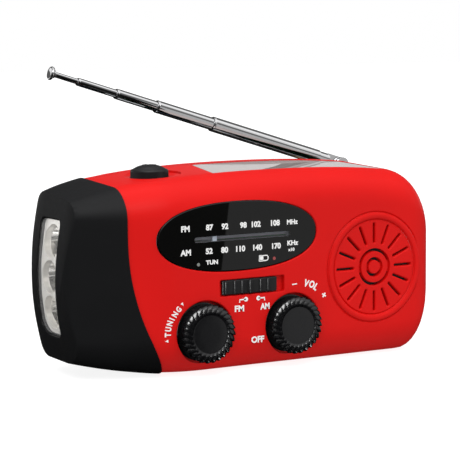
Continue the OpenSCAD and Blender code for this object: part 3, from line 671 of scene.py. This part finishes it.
def front_shell():
    ob = body_blank()
    ob.name = "front_shell_red"
    boolean(ob, [slab("behind", (-FAR, PARTING - JOINT_GAP, -FAR), (FAR, FAR, FAR)), head_block(HOOD_GAP)])
    cups = [bore("cup", WELL_R + 1.4, FRONT + 0.6, -17.7, (x, 0, z), steps=96) for x, z in (TUNING, VOLUME)]
    solid = case_solid("solid", 0.3)
    cups = boolean(join("cups", cups), [solid], "INTERSECT")
    boolean(ob, [cups, grille_bead()], "UNION")
    cutters = []
    for x, z in (TUNING, VOLUME):
        cutters.append(flared_bore("well", WELL_R, FRONT, WELL_FLOOR, 0.55, (x, 0, z), 128))
        cutters.append(bore("shaft_hole", SHAFT_HOLE_R, FRONT, -10, (x, 0, z)))
    cutters.append(flared_cut(
        "dial_mouth", lambda g: superellipse(DIAL, DIAL_HALF + 0.12 + g), FRONT, -18, 0.5))
    lo, hi = corners("band_slider")
    cutters.append(flared_cut(
        "band_mouth",
        lambda g: round_rect(lo[0] - 1 - g, hi[0] + 2.4 + g, lo[2] - 0.3 - g, hi[2] + 0.3 + g, 0.5 + g),
        FRONT, BAND_FLOOR, 0.3))
    cutters.append(slab(
        "stem_slot", (STEM[0] - 0.3, FRONT, STEM[2] - 0.3), (STEM[1] + 2.3, -18, STEM[3] + 0.3)))
    cutters += grille_cutters()
    cutters.append(crown_plate("solar_seat", 0.12, 3, 2.4))
    top = crown_z(*BUTTON)
    dish = [(0, top + 2), (9.3, top + 2), (9.3, top + 0.03), (8.6, top - 0.12), (7.2, top - 0.55),
            (5.95, top - 0.7), (5.7, top - 0.95), (5.7, top - 8), (0, top - 8)]
    cutters.append(lathe("button_dish", dish, (BUTTON[0], BUTTON[1], 0), "Z", 128))
    boolean(ob, cutters)
    ob.visible_glossy = False
    return piece(ob, "case", RED, ["front_shell"])


def rear_shell():
    ob = body_blank()
    ob.name = "rear_shell_red"
    boolean(ob, [slab("ahead", (-FAR, -FAR, -FAR), (FAR, PARTING + JOINT_GAP, FAR)), head_block(HOOD_GAP)])
    step = slab("step", (-70, LEDGE_WALL_Y - WALL, LEDGE_Z - WALL), (FAR, 60, FAR))
    step = boolean(step, [head_block(HOOD_GAP)])
    port_lo, port_hi = corners("port_cover")
    pad = slab("pad", (port_lo[0] - 2.3, 19, port_lo[2] - 2.3), (port_hi[0] + 2.3, 30, port_hi[2] + 2.3))
    solid = case_solid("solid")
    fill = boolean(join("fill", [boolean(step, [pad], "UNION")]), [solid], "INTERSECT")
    boolean(ob, [fill], "UNION")
    r = 0.7
    ledge = [(60, FAR), (LEDGE_WALL_Y, FAR)] + [
        (LEDGE_WALL_Y + r * (1 - cos(a)), LEDGE_Z + r * (1 - sin(a)))
        for a in np.linspace(0, pi / 2, 6)
    ] + [(60, LEDGE_Z)]
    cutters = [skin("ledge", [[(x, y, z) for y, z in ledge] for x in (-FAR, FAR)])]
    for x, z in SCREWS:
        cutters.append(flared_bore("screw_hole", SCREW_HOLE_R, HALF_D, 14, 0.35, (x, 0, z), 48))
    cutters.append(bore("shaft_hole", CRANK_HOLE_R, 30, 15, (CRANK[0], 0, CRANK[1]), steps=64))
    cutters.append(bore("mast_hole", MAST_HOLE_R, 45, 70, (MAST[0], MAST[1], 0), "Z", 64))

    def port_mouth(g):
        return round_rect(port_lo[0] - 0.3 - g, port_hi[0] + 0.3 + g,
                          port_lo[2] - 0.3 - g, port_hi[2] + 0.35 + g, 0.8 + g)

    cutters.append(flared_cut("port_mouth", port_mouth, HALF_D, 21.6, 0.3))
    cutters.append(slab("port_throat", (-32, 15, 27.5), (-17, 30, 42.9)))
    for cutter in cutters:
        boolean(ob, [cutter])
    ob.visible_glossy = False
    return piece(ob, "case", RED, ["rear_shell"])


def lamp_hood():
    proud = 0.35
    ob = boolean(case_solid("outer", -proud), [case_solid("inner", WALL, COARSE)])
    ob.name = "lamp_hood_soft"
    step = slab("step", (-60, LEDGE_WALL_Y - WALL, LEDGE_Z - WALL), (-20, 60, FAR))
    solid = case_solid("solid", -proud)
    boolean(ob, [boolean(step, [solid], "INTERSECT")], "UNION")
    boolean(ob, [head_block(0)], "INTERSECT")
    lo, hi = corners("lamp_lens")
    window = []
    for grow, x in ((0.5, X_LEFT - 6), (0.5, X_LEFT - 1.2), (0.1, X_LEFT + 9)):
        outline = round_rect(lo[1] - 0.1 - grow, hi[1] + 0.1 + grow, lo[2] - 0.1 - grow, hi[2] + 0.1 + grow,
                             1.5 + grow, 10, 4.5 + grow)
        window.append([(x, y, z) for y, z in outline])
    boolean(ob, [skin("window", window)])
    boolean(ob, [slab("ledge", (-58, LEDGE_WALL_Y, LEDGE_Z), (FAR, 60, FAR))])
    bevelled(ob, 0.35, 50, 3)
    return piece(ob, "case", SOFT_BLACK, ["lamp_hood"])


front_shell()
rear_shell()
lamp_hood()

# ---- Lamp end ----

LENS_LO, LENS_HI = corners("lamp_lens")
LED_AT = (18.9, 29.2, 39.5)
LED_BASE_X = corners("lamp_reflector")[1][0]


def window_prism(name, inset, x0, x1):
    ring = round_rect(LENS_LO[1] + inset, LENS_HI[1] - inset, LENS_LO[2] + inset, LENS_HI[2] - inset,
                      1.4, 10, 4.4)
    return skin(name, [[(x, y, z) for y, z in ring] for x in (x0, x1)])


def lamp_lens():
    thick = 0.7
    ob = boolean(case_solid("outer"), [case_solid("inner", thick, MEDIUM)])
    boolean(ob, [window_prism("window", 0.05, X_LEFT - 6, LED_BASE_X - 3)], "INTERSECT")
    ob.name = "lamp_lens_clear"
    bevelled(ob, 0.18, 50, 2)
    return piece(ob, "case", LENS, ["lamp_lens"])


def lamp_reflector():
    lo, hi = corners("lamp_reflector")
    block = boolean(
        case_solid("room", 2.35, MEDIUM),
        [slab("block", (lo[0] - 4, lo[1], lo[2]), (hi[0], hi[1], hi[2]))], "INTERSECT")
    neck_r, flare_r, depth, back_x = 2.0, 2.75, 7.4, hi[0] - 0.6
    bowl = [(0, back_x), (neck_r, back_x)]
    bowl += [(neck_r + flare_r * sqrt(t), back_x - depth * t) for t in np.linspace(0.02, 1, 14)]
    bowl += [(neck_r + flare_r, lo[0] - 6), (0, lo[0] - 6)]
    boolean(block, [lathe("cup", bowl, (0, 0, z), "X", 64) for z in LED_AT])
    block.name = "lamp_cups"
    return piece(block, "case", MIRROR, ["lamp_reflector"])


def lamp_bezel():
    """The silvered surround between the lens and the bowls."""
    x0 = corners("lamp_reflector")[0][0]
    bezel = boolean(
        case_solid("bezel", 0.75, MEDIUM),
        [window_prism("within", 0.15, X_LEFT - 6, x0 + 2)], "INTERSECT")
    mouth = [(0, x0 + 3), (4.6, x0 + 3), (4.6, x0 - 0.2), (4.9, x0 - 0.8), (4.9, x0 - 9), (0, x0 - 9)]
    boolean(bezel, [lathe("mouth", mouth, (0, 0, z), "X", 64) for z in LED_AT])
    bezel.name = "lamp_bezel"
    return piece(bezel, "case", BEZEL)


def lamp_leds():
    flange_r, dome_r = 2.0, 1.75
    dome = [(0, LED_BASE_X - 0.2), (flange_r, LED_BASE_X - 0.2), (flange_r, LED_BASE_X - 0.9),
            (dome_r, LED_BASE_X - 1.0)]
    dome += [(dome_r * cos(a), LED_BASE_X - 2.3 - dome_r * sin(a))
             for a in np.linspace(0, pi / 2, 10)]
    parts = [lathe("led", dome, (0, 0, z), "X", 40) for z in LED_AT]
    return piece(join("led_domes", parts), "case", LED, ["lamp_leds"])


lamp_lens()
LAMP_BOWLS = lamp_reflector()
LAMP_BEZEL = lamp_bezel()
LAMP_DOMES = lamp_leds()

# ---- Dial ----

WINDOW_Y = corners("dial_window")[0][1]
PLATE_Y = corners("dial_plate")[0][1]
SLOT_X = (-26.84, 4.99)
SLOT_Z = 39.76
SLOT_H = 1.6


def slot_outline(grow=0.0):
    return round_rect(SLOT_X[0] - grow, SLOT_X[1] + grow,
                      SLOT_Z - SLOT_H / 2 - grow, SLOT_Z + SLOT_H / 2 + grow, 0.55)


def dial():
    lip = 0.28
    rings = [[(x, PLATE_Y, z) for x, z in superellipse(DIAL, DIAL_HALF - 0.02)]]
    for i in range(6):
        a = pi / 2 * i / 5
        rings.append([(x, WINDOW_Y + lip * (1 - sin(a)), z)
                      for x, z in superellipse(DIAL, DIAL_HALF - 0.02 - lip * (1 - cos(a)))])
    ob = skin("dial_glass_printed", rings)
    boolean(ob, [prism_y("slot", slot_outline(), WINDOW_Y - 1, PLATE_Y + 1)])
    piece(ob, "case", DIAL_BLACK, ["dial_window"])
    insert = prism_y("dial_slot_clear", slot_outline(-0.01), WINDOW_Y + 0.03, PLATE_Y - 0.02)
    piece(insert, "case", WINDOW)


dial()

# ---- Printed marks ----


def front_surface(x, z):
    return -half_depth(x)


def window_surface(x, z):
    return WINDOW_Y


INK_PROUD, INK_SUNK = 0.07, 0.04


def solid_ink(mesh, surface):
    """Lays a flat XZ shape, with its own small thickness, on a surface."""
    for v in mesh.vertices:
        x, z, side = v.co
        v.co = (x, surface(x, z) + (-INK_PROUD if side > 0 else INK_SUNK), z)
    return linked("mark", mesh)


def text_mark(text, at, height, width=None, angle=0.0, surface=front_surface, squeeze=1.0):
    """One word of the built-in font, centred at (x, z), turned by angle."""
    curve = bpy.data.curves.new("text", "FONT")
    curve.body, curve.size, curve.offset, curve.extrude, curve.resolution_u = text, 10, 0.4, 0.5, 4
    ob = linked("text", curve)
    mesh = bpy.data.meshes.new_from_object(ob.evaluated_get(bpy.context.evaluated_depsgraph_get()))
    bpy.data.objects.remove(ob)
    pts = np.array([v.co[:2] for v in mesh.vertices])
    lo, hi = pts.min(0), pts.max(0)
    kz = height / (hi[1] - lo[1])
    kx = width / (hi[0] - lo[0]) if width else kz * squeeze
    c, s = cos(radians(angle)), sin(radians(angle))
    for v in mesh.vertices:
        x, z = (v.co.x - (lo[0] + hi[0]) / 2) * kx, (v.co.y - (lo[1] + hi[1]) / 2) * kz
        v.co = (at[0] + x * c - z * s, at[1] + x * s + z * c, v.co.z)
    return solid_ink(mesh, surface)


def flat_mark(outline, surface=front_surface):
    """A filled outline, given counter-clockwise in (x, z)."""
    n = len(outline)
    verts = [(x, z, 1.0) for x, z in outline] + [(x, z, -1.0) for x, z in outline]
    faces = [tuple(range(n)), tuple(range(n, 2 * n))[::-1]]
    faces += [(i, i + n, (i + 1) % n + n, (i + 1) % n) for i in range(n)]
    mesh = bpy.data.meshes.new("mark")
    mesh.from_pydata(verts, [], faces)
    bm = bmesh.new()
    bm.from_mesh(mesh)
    bmesh.ops.triangulate(bm, faces=[f for f in bm.faces if len(f.verts) > 4])
    bm.to_mesh(mesh)
    bm.free()
    return solid_ink(mesh, surface)


def disc_mark(at, r, surface=front_surface):
    turns = np.linspace(0, 2 * pi, 24, endpoint=False)
    return flat_mark([(at[0] + r * cos(a), at[1] + r * sin(a)) for a in turns], surface)


def line_mark(points, width, surface=front_surface):
    """A line of even width through points, with mitred bends."""
    pts = [np.array(p, float) for p in points]
    left, right = [], []
    for i, p in enumerate(pts):
        d = (pts[min(i + 1, len(pts) - 1)] - pts[max(i - 1, 0)])
        d /= np.linalg.norm(d)
        a = pts[i] - pts[i - 1] if i else d
        a = a / np.linalg.norm(a)
        w = width / 2 / max(0.5, abs(float(a @ d)))
        n = np.array([-d[1], d[0]])
        left.append(tuple(p + n * w))
        right.append(tuple(p - n * w))
    return flat_mark(right + left[::-1], surface)


def on_arc(middle, at, text, height):
    """A letter that stands on a circle round middle."""
    turn = degrees(atan2(at[1] - middle[1], at[0] - middle[0])) - 90
    return text_mark(text, at, height, angle=turn, squeeze=0.8)


def front_marks():
    marks = []
    places = ((-35.75, 13.17), (-35.6, 14.85), (-35.15, 16.5), (-34.45, 17.7), (-33.5, 18.95), (-32.3, 20.3))
    marks += [on_arc(TUNING, at, letter, 1.8) for letter, at in zip("TUNING", places)]
    places = ((10.45, 24.55), (12.35, 24.1), (13.8, 23.2))
    marks += [on_arc(VOLUME, at, letter, 2.2) for letter, at in zip("VOL", places)]
    marks.append(line_mark([(5.5, 24.55), (7.2, 24.65)], 0.34))
    marks.append(text_mark("+", (16.6, 20.55), 1.5, angle=-35))
    for at, turn in (((-31.1, 21.75), -50), ((-36.0, 11.4), 185)):
        c, s = cos(radians(turn)), sin(radians(turn))
        tip = [(0.6, 0), (-0.35, 0.42), (-0.35, -0.42)]
        marks.append(flat_mark([(at[0] + u * c - v * s, at[1] + u * s + v * c) for u, v in tip]))
    marks.append(text_mark("OFF", (-6.3, 9.27), 1.95, 4.3))
    for text, x, side in (("FM", -12.4, -1), ("AM", -3.82, 1)):
        marks.append(text_mark(text, (x, 18.9), 1.85, 3.1))
        ball = (x - side * 2.2, 21.45)
        marks.append(disc_mark(ball, 0.68))
        marks.append(line_mark([ball, (ball[0] + side * 2.05, 21.45), (ball[0] + side * 2.1, 20.6)], 0.38))
    return piece(join("front_marks", marks), "case", INK)


def dial_marks():
    marks = []
    face = window_surface
    upper = (("FM", -29.8), ("87", -21.97), ("92", -16.92), ("98", -10.81), ("102", -6.53), ("108", -0.05))
    lower = (("AM", -29.8), ("52", -22.15), ("80", -17.1), ("110", -11.78), ("140", -6.08), ("170", 0.27))
    for z, row in ((43.2, upper), (36.38, lower)):
        marks += [text_mark(text, (x, z), 1.75, surface=face) for text, x in row]
    marks += [text_mark(text, at, height, width, surface=face) for text, at, height, width in (
        ("MHz", (5.75, 43.15), 1.45, 3.7), ("KHz", (5.85, 36.95), 1.45, 3.7),
        ("x10", (5.35, 35.0), 1.0, 2.2), ("TUN", (-21.3, 33.1), 1.3, 3.9))]
    cell = [(-2.6, 32.75), (-2.6, 33.45), (-2.95, 33.8), (-3.3, 33.85), (-5.55, 33.85), (-5.55, 32.35),
            (-3.3, 32.35), (-2.95, 32.4)]
    marks.append(line_mark(cell + [cell[0]], 0.3, face))
    marks.append(flat_mark([(-5.5, 32.4), (-4.2, 32.4), (-4.2, 33.8), (-5.5, 33.8)], face))
    piece(join("dial_marks", marks), "case", INK)
    piece(disc_mark((-25.7, 32.7), 0.5, face), "case", DOT_GREY).name = "tuning_lamp"
    piece(disc_mark((-0.49, 32.76), 0.5, face), "case", DOT_RED).name = "charge_lamp"


front_marks()
dial_marks()

# ---- Knobs and slider ----

FLUTES = 28
SHOULDER_R = 5.6


def knob(name, body, at, node):
    """A knob with a shallow dished face inside a rounded ring of slanting ratchet ridges."""
    lo, hi = corners(node)
    rim = (hi[0] - lo[0]) / 2
    face_y, back_y = lo[1], hi[1]
    dished, edge_drop = 0.5, 1.15
    profile = [(0, face_y + dished), (3.0, face_y + dished), (SHOULDER_R - 0.25, face_y + dished - 0.02)]
    crest = 0.3
    for t in np.linspace(0, 1, 26):
        if t < crest:
            depth = dished * (1 - sin(pi / 2 * t / crest))
        else:
            depth = edge_drop * (1 - sqrt(1 - ((t - crest) / (1 - crest)) ** 2.1))
        profile.append((SHOULDER_R + (rim - SHOULDER_R) * t, face_y + depth))
    end_y = face_y + edge_drop
    profile += [(rim, end_y + 0.5), (rim, end_y + 1.1), (rim - 0.25, end_y + 1.25), (rim - 0.3, back_y - 0.6)]
    profile += [(rim, back_y - 0.5), (rim, back_y), (0, back_y)]

    def hollow(a, r):
        t = part01((r - SHOULDER_R) / (rim - SHOULDER_R))
        phase = (FLUTES * a / (2 * pi) + 0.5 * t) % 1
        return phase ** 1.5 * min(1.0, 2.2 * t)

    def scallop(a, r, h):
        if h > end_y + 1.15 or r < SHOULDER_R:
            return r
        return r - 0.45 * hollow(a, r) * part01((r - SHOULDER_R - 1.2) / 1.2)

    def ridge(a, r, h):
        if h > end_y + 0.05 or r < SHOULDER_R:
            return h
        return h + 0.6 * hollow(a, r)

    ob = lathe(name, profile, (at[0], 0, at[1]), steps=FLUTES * 10, shape=scallop, lift=ridge)
    return piece(ob, body, KNOB_BLACK, [node], angle=50)


def band_slider():
    lo, hi = corners("band_slider")
    cap_y = FRONT + 0.25
    cap = slab("cap", (lo[0], cap_y, lo[2]), (hi[0], BAND_FLOOR - 0.1, hi[2]))
    bevelled(cap, 0.3, 35, 3)
    parts = [cap]
    low, high = (0.42, 0.55), (0.5, 1.0)  # half width and rise of a rib
    ribs = zip((-16.67, -13.68, -11.25, -8.72, -5.06, -2.56), (low, low, low, high, low, low))
    for x, (half, rise) in ribs:
        rib = slab("rib", (x - half, cap_y - rise, lo[2] + 0.12), (x + half, cap_y + 0.3, hi[2] - 0.12))
        parts.append(bevelled(rib, 0.28, 35, 3))
    parts.append(slab("stem", (STEM[0], BAND_FLOOR - 0.5, STEM[2]), (STEM[1], hi[1], STEM[3])))
    return piece(join("band_cap", parts), "band_slider", BLACK, ["band_slider"])


TUNING_GRIP = knob("tuning_knob_grip", "tuning", TUNING, "tuning_knob")
VOLUME_GRIP = knob("volume_knob_grip", "volume", VOLUME, "volume_knob")
BAND_CAP = band_slider()

# ---- Top: solar panel and lamp button ----


def solar():
    ob = crown_plate("solar_window", -0.02, -0.1, 1.1, 0.22)
    piece(ob, "case", SOLAR_COVER, ["solar_cover"])
    panel = crown_plate("solar_cells", -0.6, -1.1, 1.8)
    piece(panel, "case", SOLAR, ["solar_panel"])
    lines = []
    lo, hi = corners("solar_cover")
    count = 9
    for i in range(1, count):
        x = lo[0] + (hi[0] - lo[0]) * i / count
        near, away, under, over = lo[1] + 1.2, hi[1] - 1.2, -1.15, -1.05
        ring = [(y, crown_z(x, y) + lift)
                for y, lift in ((near, under), (away, under), (away, over), (near, over))]
        lines.append(skin("line", [[(at, y, z) for y, z in ring] for at in (x - 0.12, x + 0.12)]))
    piece(join("cell_contacts", lines), "case", STEEL)


def lamp_button():
    lo, hi = corners("lamp_button")
    r, top, rise = 5.6, hi[2], 1.3
    profile = [(0, lo[2]), (r + 0.5, lo[2]), (r + 0.5, lo[2] + 0.8), (r, lo[2] + 0.8), (r, top - rise - 0.7)]
    edge = 0.7
    profile += [(r - edge + edge * cos(a), top - rise - edge + edge * sin(a))
                for a in np.linspace(0, pi / 2, 8)][1:-1]
    profile += [((r - edge) * t, top - rise * t ** 2.6) for t in np.linspace(1, 0, 14)]
    ob = lathe("lamp_button_cap", profile, (BUTTON[0], BUTTON[1], 0), "Z", 96)
    mark_r, half = 1.9, 0.22
    turns = np.radians(np.linspace(25 + 90, 335 + 90, 40))
    arc = [((mark_r + half) * cos(a), (mark_r + half) * sin(a)) for a in turns]
    arc += [((mark_r - half) * cos(a), (mark_r - half) * sin(a)) for a in turns[::-1]]

    def raised(name, outline):
        return skin(name, [[(BUTTON[0] + x, BUTTON[1] + y, z) for x, y in outline]
                           for z in (top - 0.6, top - 0.04)])

    boolean(ob, [raised("arc", arc), raised("bar", round_rect(-half, half, 0.6, 2.7, 0.15))], "UNION")
    return piece(ob, "lamp_button", BLACK, ["lamp_button"])


solar()
lamp_button()

# ---- Antenna ----

TILT = radians(17.3)
MAST_DIR = np.array([-cos(TILT), 0, sin(TILT)])
MAST_SIDE = np.array([sin(TILT), 0, cos(TILT)])


def along_mast(node):
    """Start, end and radius of a node, measured along the mast from its pivot."""
    pts = np.array([v.co for v in NODES[node].data.vertices]) / M - MAST
    s = pts @ MAST_DIR
    r = np.linalg.norm(pts - np.outer(s, MAST_DIR), axis=1)
    return s.min(), s.max(), r.max()


def mast_lathe(name, profile, steps=48):
    rings = []
    for r, s in profile:
        ring = []
        for j in range(steps):
            a = 2 * pi * j / steps
            out = cos(a) * MAST_SIDE + sin(a) * np.array([0, 1, 0])
            p = MAST + s * MAST_DIR + max(r, 1e-4) * out
            ring.append(tuple(p))
        rings.append(ring)
    return welded(skin(name, rings), 0.001, 0.0005)


def tube(node, body, wall=0.3):
    s0, s1, r = along_mast(node)
    profile = [(r - wall, s0 + 0.1), (r - 0.06, s0), (r, s0 + 0.1), (r, s1 - 0.75), (r - 0.07, s1 - 0.68),
               (r, s1 - 0.6), (r, s1 - 0.35), (r - 0.08, s1 - 0.12), (r - 0.25, s1),
               (r - wall + 0.02, s1 - 0.1), (r - wall, s1 - 0.4), (r - wall, s0 + 0.1)]
    ob = mast_lathe(node + "_chrome", profile)
    return piece(ob, body, CHROME, [node], angle=30)


def antenna_tip():
    s0, s1, r = along_mast("antenna_rod_5")
    rod = 0.86
    profile = [(0, s0), (rod, s0 + 0.1), (rod, s1 - 1.9), (1.1, s1 - 1.75), (1.25, s1 - 1.5),
               (1.25, s1 - 1.15), (1.05, s1 - 0.95), (1.6, s1 - 0.93), (r - 0.12, s1 - 0.86), (r, s1 - 0.6),
               (r, s1 - 0.3), (r - 0.15, s1 - 0.06), (1.5, s1), (1.1, s1 - 0.12), (0, s1 - 0.2)]
    return piece(mast_lathe("antenna_tip", profile), "mast_5", CHROME, ["antenna_rod_5"], angle=30)


def refined(node, body, mat, width):
    """A CAD node with its edges rounded."""
    ob = bevelled(cad_copy(node, node + "_finish"), width, segments=2)
    return piece(ob, body, mat, [node], angle=40)


for count in (1, 2, 3, 4):
    tube(f"antenna_tube_{count}", "mast" if count == 1 else f"mast_{count}")
antenna_tip()
refined("antenna_knuckle", "mast", CHROME, 0.18)
refined("antenna_turret", "turret", CHROME, 0.12)

# ---- Crank ----


def crank_knob():
    lo, hi = corners("crank_knob")
    r = (hi[2] - lo[2]) / 2
    profile = [(1.66, lo[0]), (r - 0.6, lo[0]), (r - 0.15, lo[0] + 0.2), (r, lo[0] + 0.7)]
    for x in np.linspace(lo[0] + 1.6, hi[0] - 2.2, 44):
        profile.append((r - 0.35 * abs(sin(pi * (x - lo[0]) / 1.9)) ** 3, x))
    profile += [(r, hi[0] - 0.7), (r - 0.15, hi[0] - 0.2), (r - 0.6, hi[0]), (1.66, hi[0]), (1.66, lo[0])]
    middle = centre("crank_knob")
    ob = lathe("crank_grip", profile, (0, middle[1], middle[2]), "X", 64)
    return piece(ob, "crank_knob", BLACK, ["crank_knob"])


crank_knob()
refined("crank_arm", "crank", BLACK, 0.6)
refined("crank_peg", "crank_peg", STEEL, 0.2)
refined("crank_screw", "crank", DARK_STEEL, 0.15)

# ---- Ports ----


def port_cover():
    lo, hi = corners("port_cover")
    ob = bevelled(cad_copy("port_cover", "port_flap"), 0.2, 35, 2)
    ribs = []
    for i in range(3):
        z = lo[2] + 1.6 + 1.1 * i
        rib = slab("rib", (lo[0] + 5, hi[1] - 0.3, z), (hi[0] - 5, hi[1] + 0.25, z + 0.5))
        ribs.append(bevelled(rib, 0.15, 35, 2))
    return piece(join("port_flap", [ob] + ribs), "port_cover", BLACK, ["port_cover"])


port_cover()
refined("usb_socket", "case", STEEL, 0.1)
refined("charge_socket", "case", STEEL, 0.1)
refined("housing_screws", "case", DARK_STEEL, 0.12)

# ---- CAD nodes that keep their own shape ----

KEPT = {
    STEEL: ("tuning_shaft", "volume_shaft", "volume_pot", "speaker_frame", "antenna_bush", "antenna_pin",
            "crank_shaft", "crank_pin", "gearbox_plate", "idler_axle", "generator", "port_pin"),
    BOARD: ("lamp_board", "main_board", "port_board"), BLACK: ("pointer_rail", "band_switch", "lamp_switch"),
    ACETAL: ("dial_idler", "crank_gear", "idler_gear"), PAPER: ("dust_screen", "speaker_cone"),
    FERRITE: ("speaker_magnet", "ferrite_rod"), BRASS: ("crank_bush", "generator_pinion"),
    SLOT_GREY: ("dial_plate",), POINTER: ("dial_pointer",), CREAM: ("tuning_capacitor",),
    COPPER: ("ferrite_coil",), BLUE_WRAP: ("battery_cell",),
}
for mat, nodes in KEPT.items():
    for node in nodes:
        ob = NODES[node]
        if not ob.material_slots:
            ob.data.materials.append(mat)
        for holder in ob.material_slots:
            holder.material = mat

# ---- Camera, light and floor ----


def camera():
    azimuth, elevation, roll = radians(-29.234), radians(6.531), radians(-0.483)
    target = Vector((-0.00243, 0.0, 0.03903))
    level = cos(elevation)
    back = Vector((sin(azimuth) * level, -cos(azimuth) * level, sin(elevation)))
    distance = 0.55454
    data = bpy.data.cameras.new("camera")
    data.sensor_width, data.lens = 36, 143.3
    data.clip_start, data.clip_end = 0.01, 20
    ob = linked("camera", data)
    ob.location = target + back * distance
    ob.rotation_mode = "QUATERNION"
    ob.rotation_quaternion = (-back).to_track_quat("-Z", "Y") @ Matrix.Rotation(roll, 3, "Z").to_quaternion()
    bpy.context.scene.camera = ob


def area(name, at, look, size, power, only_glossy=False):
    data = bpy.data.lights.new(name, "AREA")
    data.shape, data.size, data.size_y = "RECTANGLE", size[0], size[1]
    data.energy = power
    ob = linked(name, data)
    ob.location = at
    ob.rotation_mode = "QUATERNION"
    ob.rotation_quaternion = (Vector(look) - Vector(at)).to_track_quat("-Z", "Y")
    ob.visible_camera = False
    if only_glossy:
        ob.visible_diffuse = False
    return ob


def sun(strength):
    """Wide, even daylight from above that lights the whole floor alike."""
    data = bpy.data.lights.new("sky", "SUN")
    data.energy, data.angle = strength, radians(80)
    ob = linked("sky", data)
    ob.rotation_euler = (radians(12), radians(-10), 0)
    ob.visible_glossy = False


def floor():
    mesh = bpy.data.meshes.new("floor")
    half = 3.0
    mesh.from_pydata(
        [(-half, -half, 0), (half, -half, 0), (half, half, 0), (-half, half, 0)], [], [(0, 1, 2, 3)])
    ob = linked("floor", mesh)
    mesh.materials.append(plastic(
        "floor_paper", (0.3, 0.3, 0.3), 0.95, grain=300, strength=0.0, vary=0.005,
        Emission_Color=(1, 1, 1, 1), Emission_Strength=0.88))
    ob.visible_glossy = False
    ob.visible_diffuse = False


def world():
    """White to the camera, an even glow on matt surfaces, and a studio with a dark front to glossy ones."""
    w = bpy.data.worlds.new("studio")
    bpy.context.scene.world = w
    w.use_nodes = True
    t = w.node_tree
    t.nodes.clear()

    def add(kind):
        return t.nodes.new("ShaderNode" + kind)

    def background(rgb):
        n = add("Background")
        n.inputs["Color"].default_value = (*rgb, 1)
        return n

    def mixed(fac, a, b):
        n = add("MixShader")
        t.links.new(fac, n.inputs["Fac"])
        t.links.new(a.outputs[0], n.inputs[1])
        t.links.new(b.outputs[0], n.inputs[2])
        return n

    split = add("SeparateXYZ")
    t.links.new(add("TexCoord").outputs["Generated"], split.inputs[0])

    def along(axis, stops):
        half = add("MapRange")
        half.inputs["From Min"].default_value = -1
        t.links.new(split.outputs[axis], half.inputs["Value"])
        ramp = add("ValToRGB")
        while len(ramp.color_ramp.elements) < len(stops):
            ramp.color_ramp.elements.new(0.5)
        for element, (place, level) in zip(ramp.color_ramp.elements, stops):
            element.position = place
            element.color = (level, level, level, 1)
        t.links.new(half.outputs["Result"], ramp.inputs["Fac"])
        return ramp.outputs["Color"]

    ahead = along("Z", (
        (0.0, 0.0), (0.53, 0.01), (0.56, 0.08), (0.59, 0.14), (0.72, 0.16), (0.8, 0.9), (1.0, 1.0)))
    behind = along("Z", (
        (0.0, 0.0), (0.499, 0.02), (0.505, 0.9), (0.57, 0.9), (0.6, 0.1), (0.9, 0.12), (0.96, 1.0),
        (1.0, 1.0)))
    side = along("Y", ((0.0, 0.0), (0.47, 0.0), (0.53, 1.0), (1.0, 1.0)))
    both = add("Mix")
    both.data_type = "RGBA"
    t.links.new(side, both.inputs["Factor"])
    t.links.new(ahead, both.inputs["A"])
    t.links.new(behind, both.inputs["B"])
    room = background((1, 1, 1))
    t.links.new(both.outputs["Result"], room.inputs["Color"])
    glow = background((0.68, 0.68, 0.68))
    path = add("LightPath")
    glossy = mixed(path.outputs["Is Glossy Ray"], glow, room)
    seen = mixed(path.outputs["Is Camera Ray"], glossy, background((1, 1, 1)))
    out = add("OutputWorld")
    t.links.new(seen.outputs[0], out.inputs["Surface"])


def reflection_card():
    """A pale card that only the dial's gloss picks up."""
    ob = area("card", (0.109, -0.15, 0.02), (0.109, 0.0, 0.02), (0.11, 0.14), 0.02, only_glossy=True)
    lean = Matrix.Rotation(radians(-8), 3, "Z").to_quaternion()
    ob.rotation_quaternion = ob.rotation_quaternion @ lean


def falls_only_on(light, name, pieces):
    lit = bpy.data.collections.new(name)
    for item in pieces:
        lit.objects.link(item)
    light.light_linking.receiver_collection = lit


def lamp_light(pieces):
    """Light from beyond the lamp end that shows its bowls and falls on nothing else."""
    ob = area("lamp_light", (-0.5, -0.16, 0.12), (-0.06, 0, 0.03), (0.4, 0.4), 3.6)
    falls_only_on(ob, "lamp_pieces", pieces)


def sparkle(pieces):
    """A light on the left for the crisp glints on the knobs' ridges and the slider."""
    ob = area("sparkle", (-0.8, -0.45, 0.2), (0, 0, 0.02), (0.6, 0.7), 20.0, only_glossy=True)
    falls_only_on(ob, "ridged_pieces", pieces)


camera()
floor()
world()
lamp_light([LAMP_BOWLS, LAMP_BEZEL, LAMP_DOMES])
sparkle([TUNING_GRIP, VOLUME_GRIP, BAND_CAP])
sun(1.85)
area("key", (-0.35, -0.75, 0.85), (0, 0, 0.03), (0.7, 0.5), 2.2)
area("fill", (0.9, -0.5, 0.35), (0, 0, 0.03), (0.5, 0.6), 0.4)
reflection_card()

bpy.context.scene.view_settings.view_transform = "Standard"
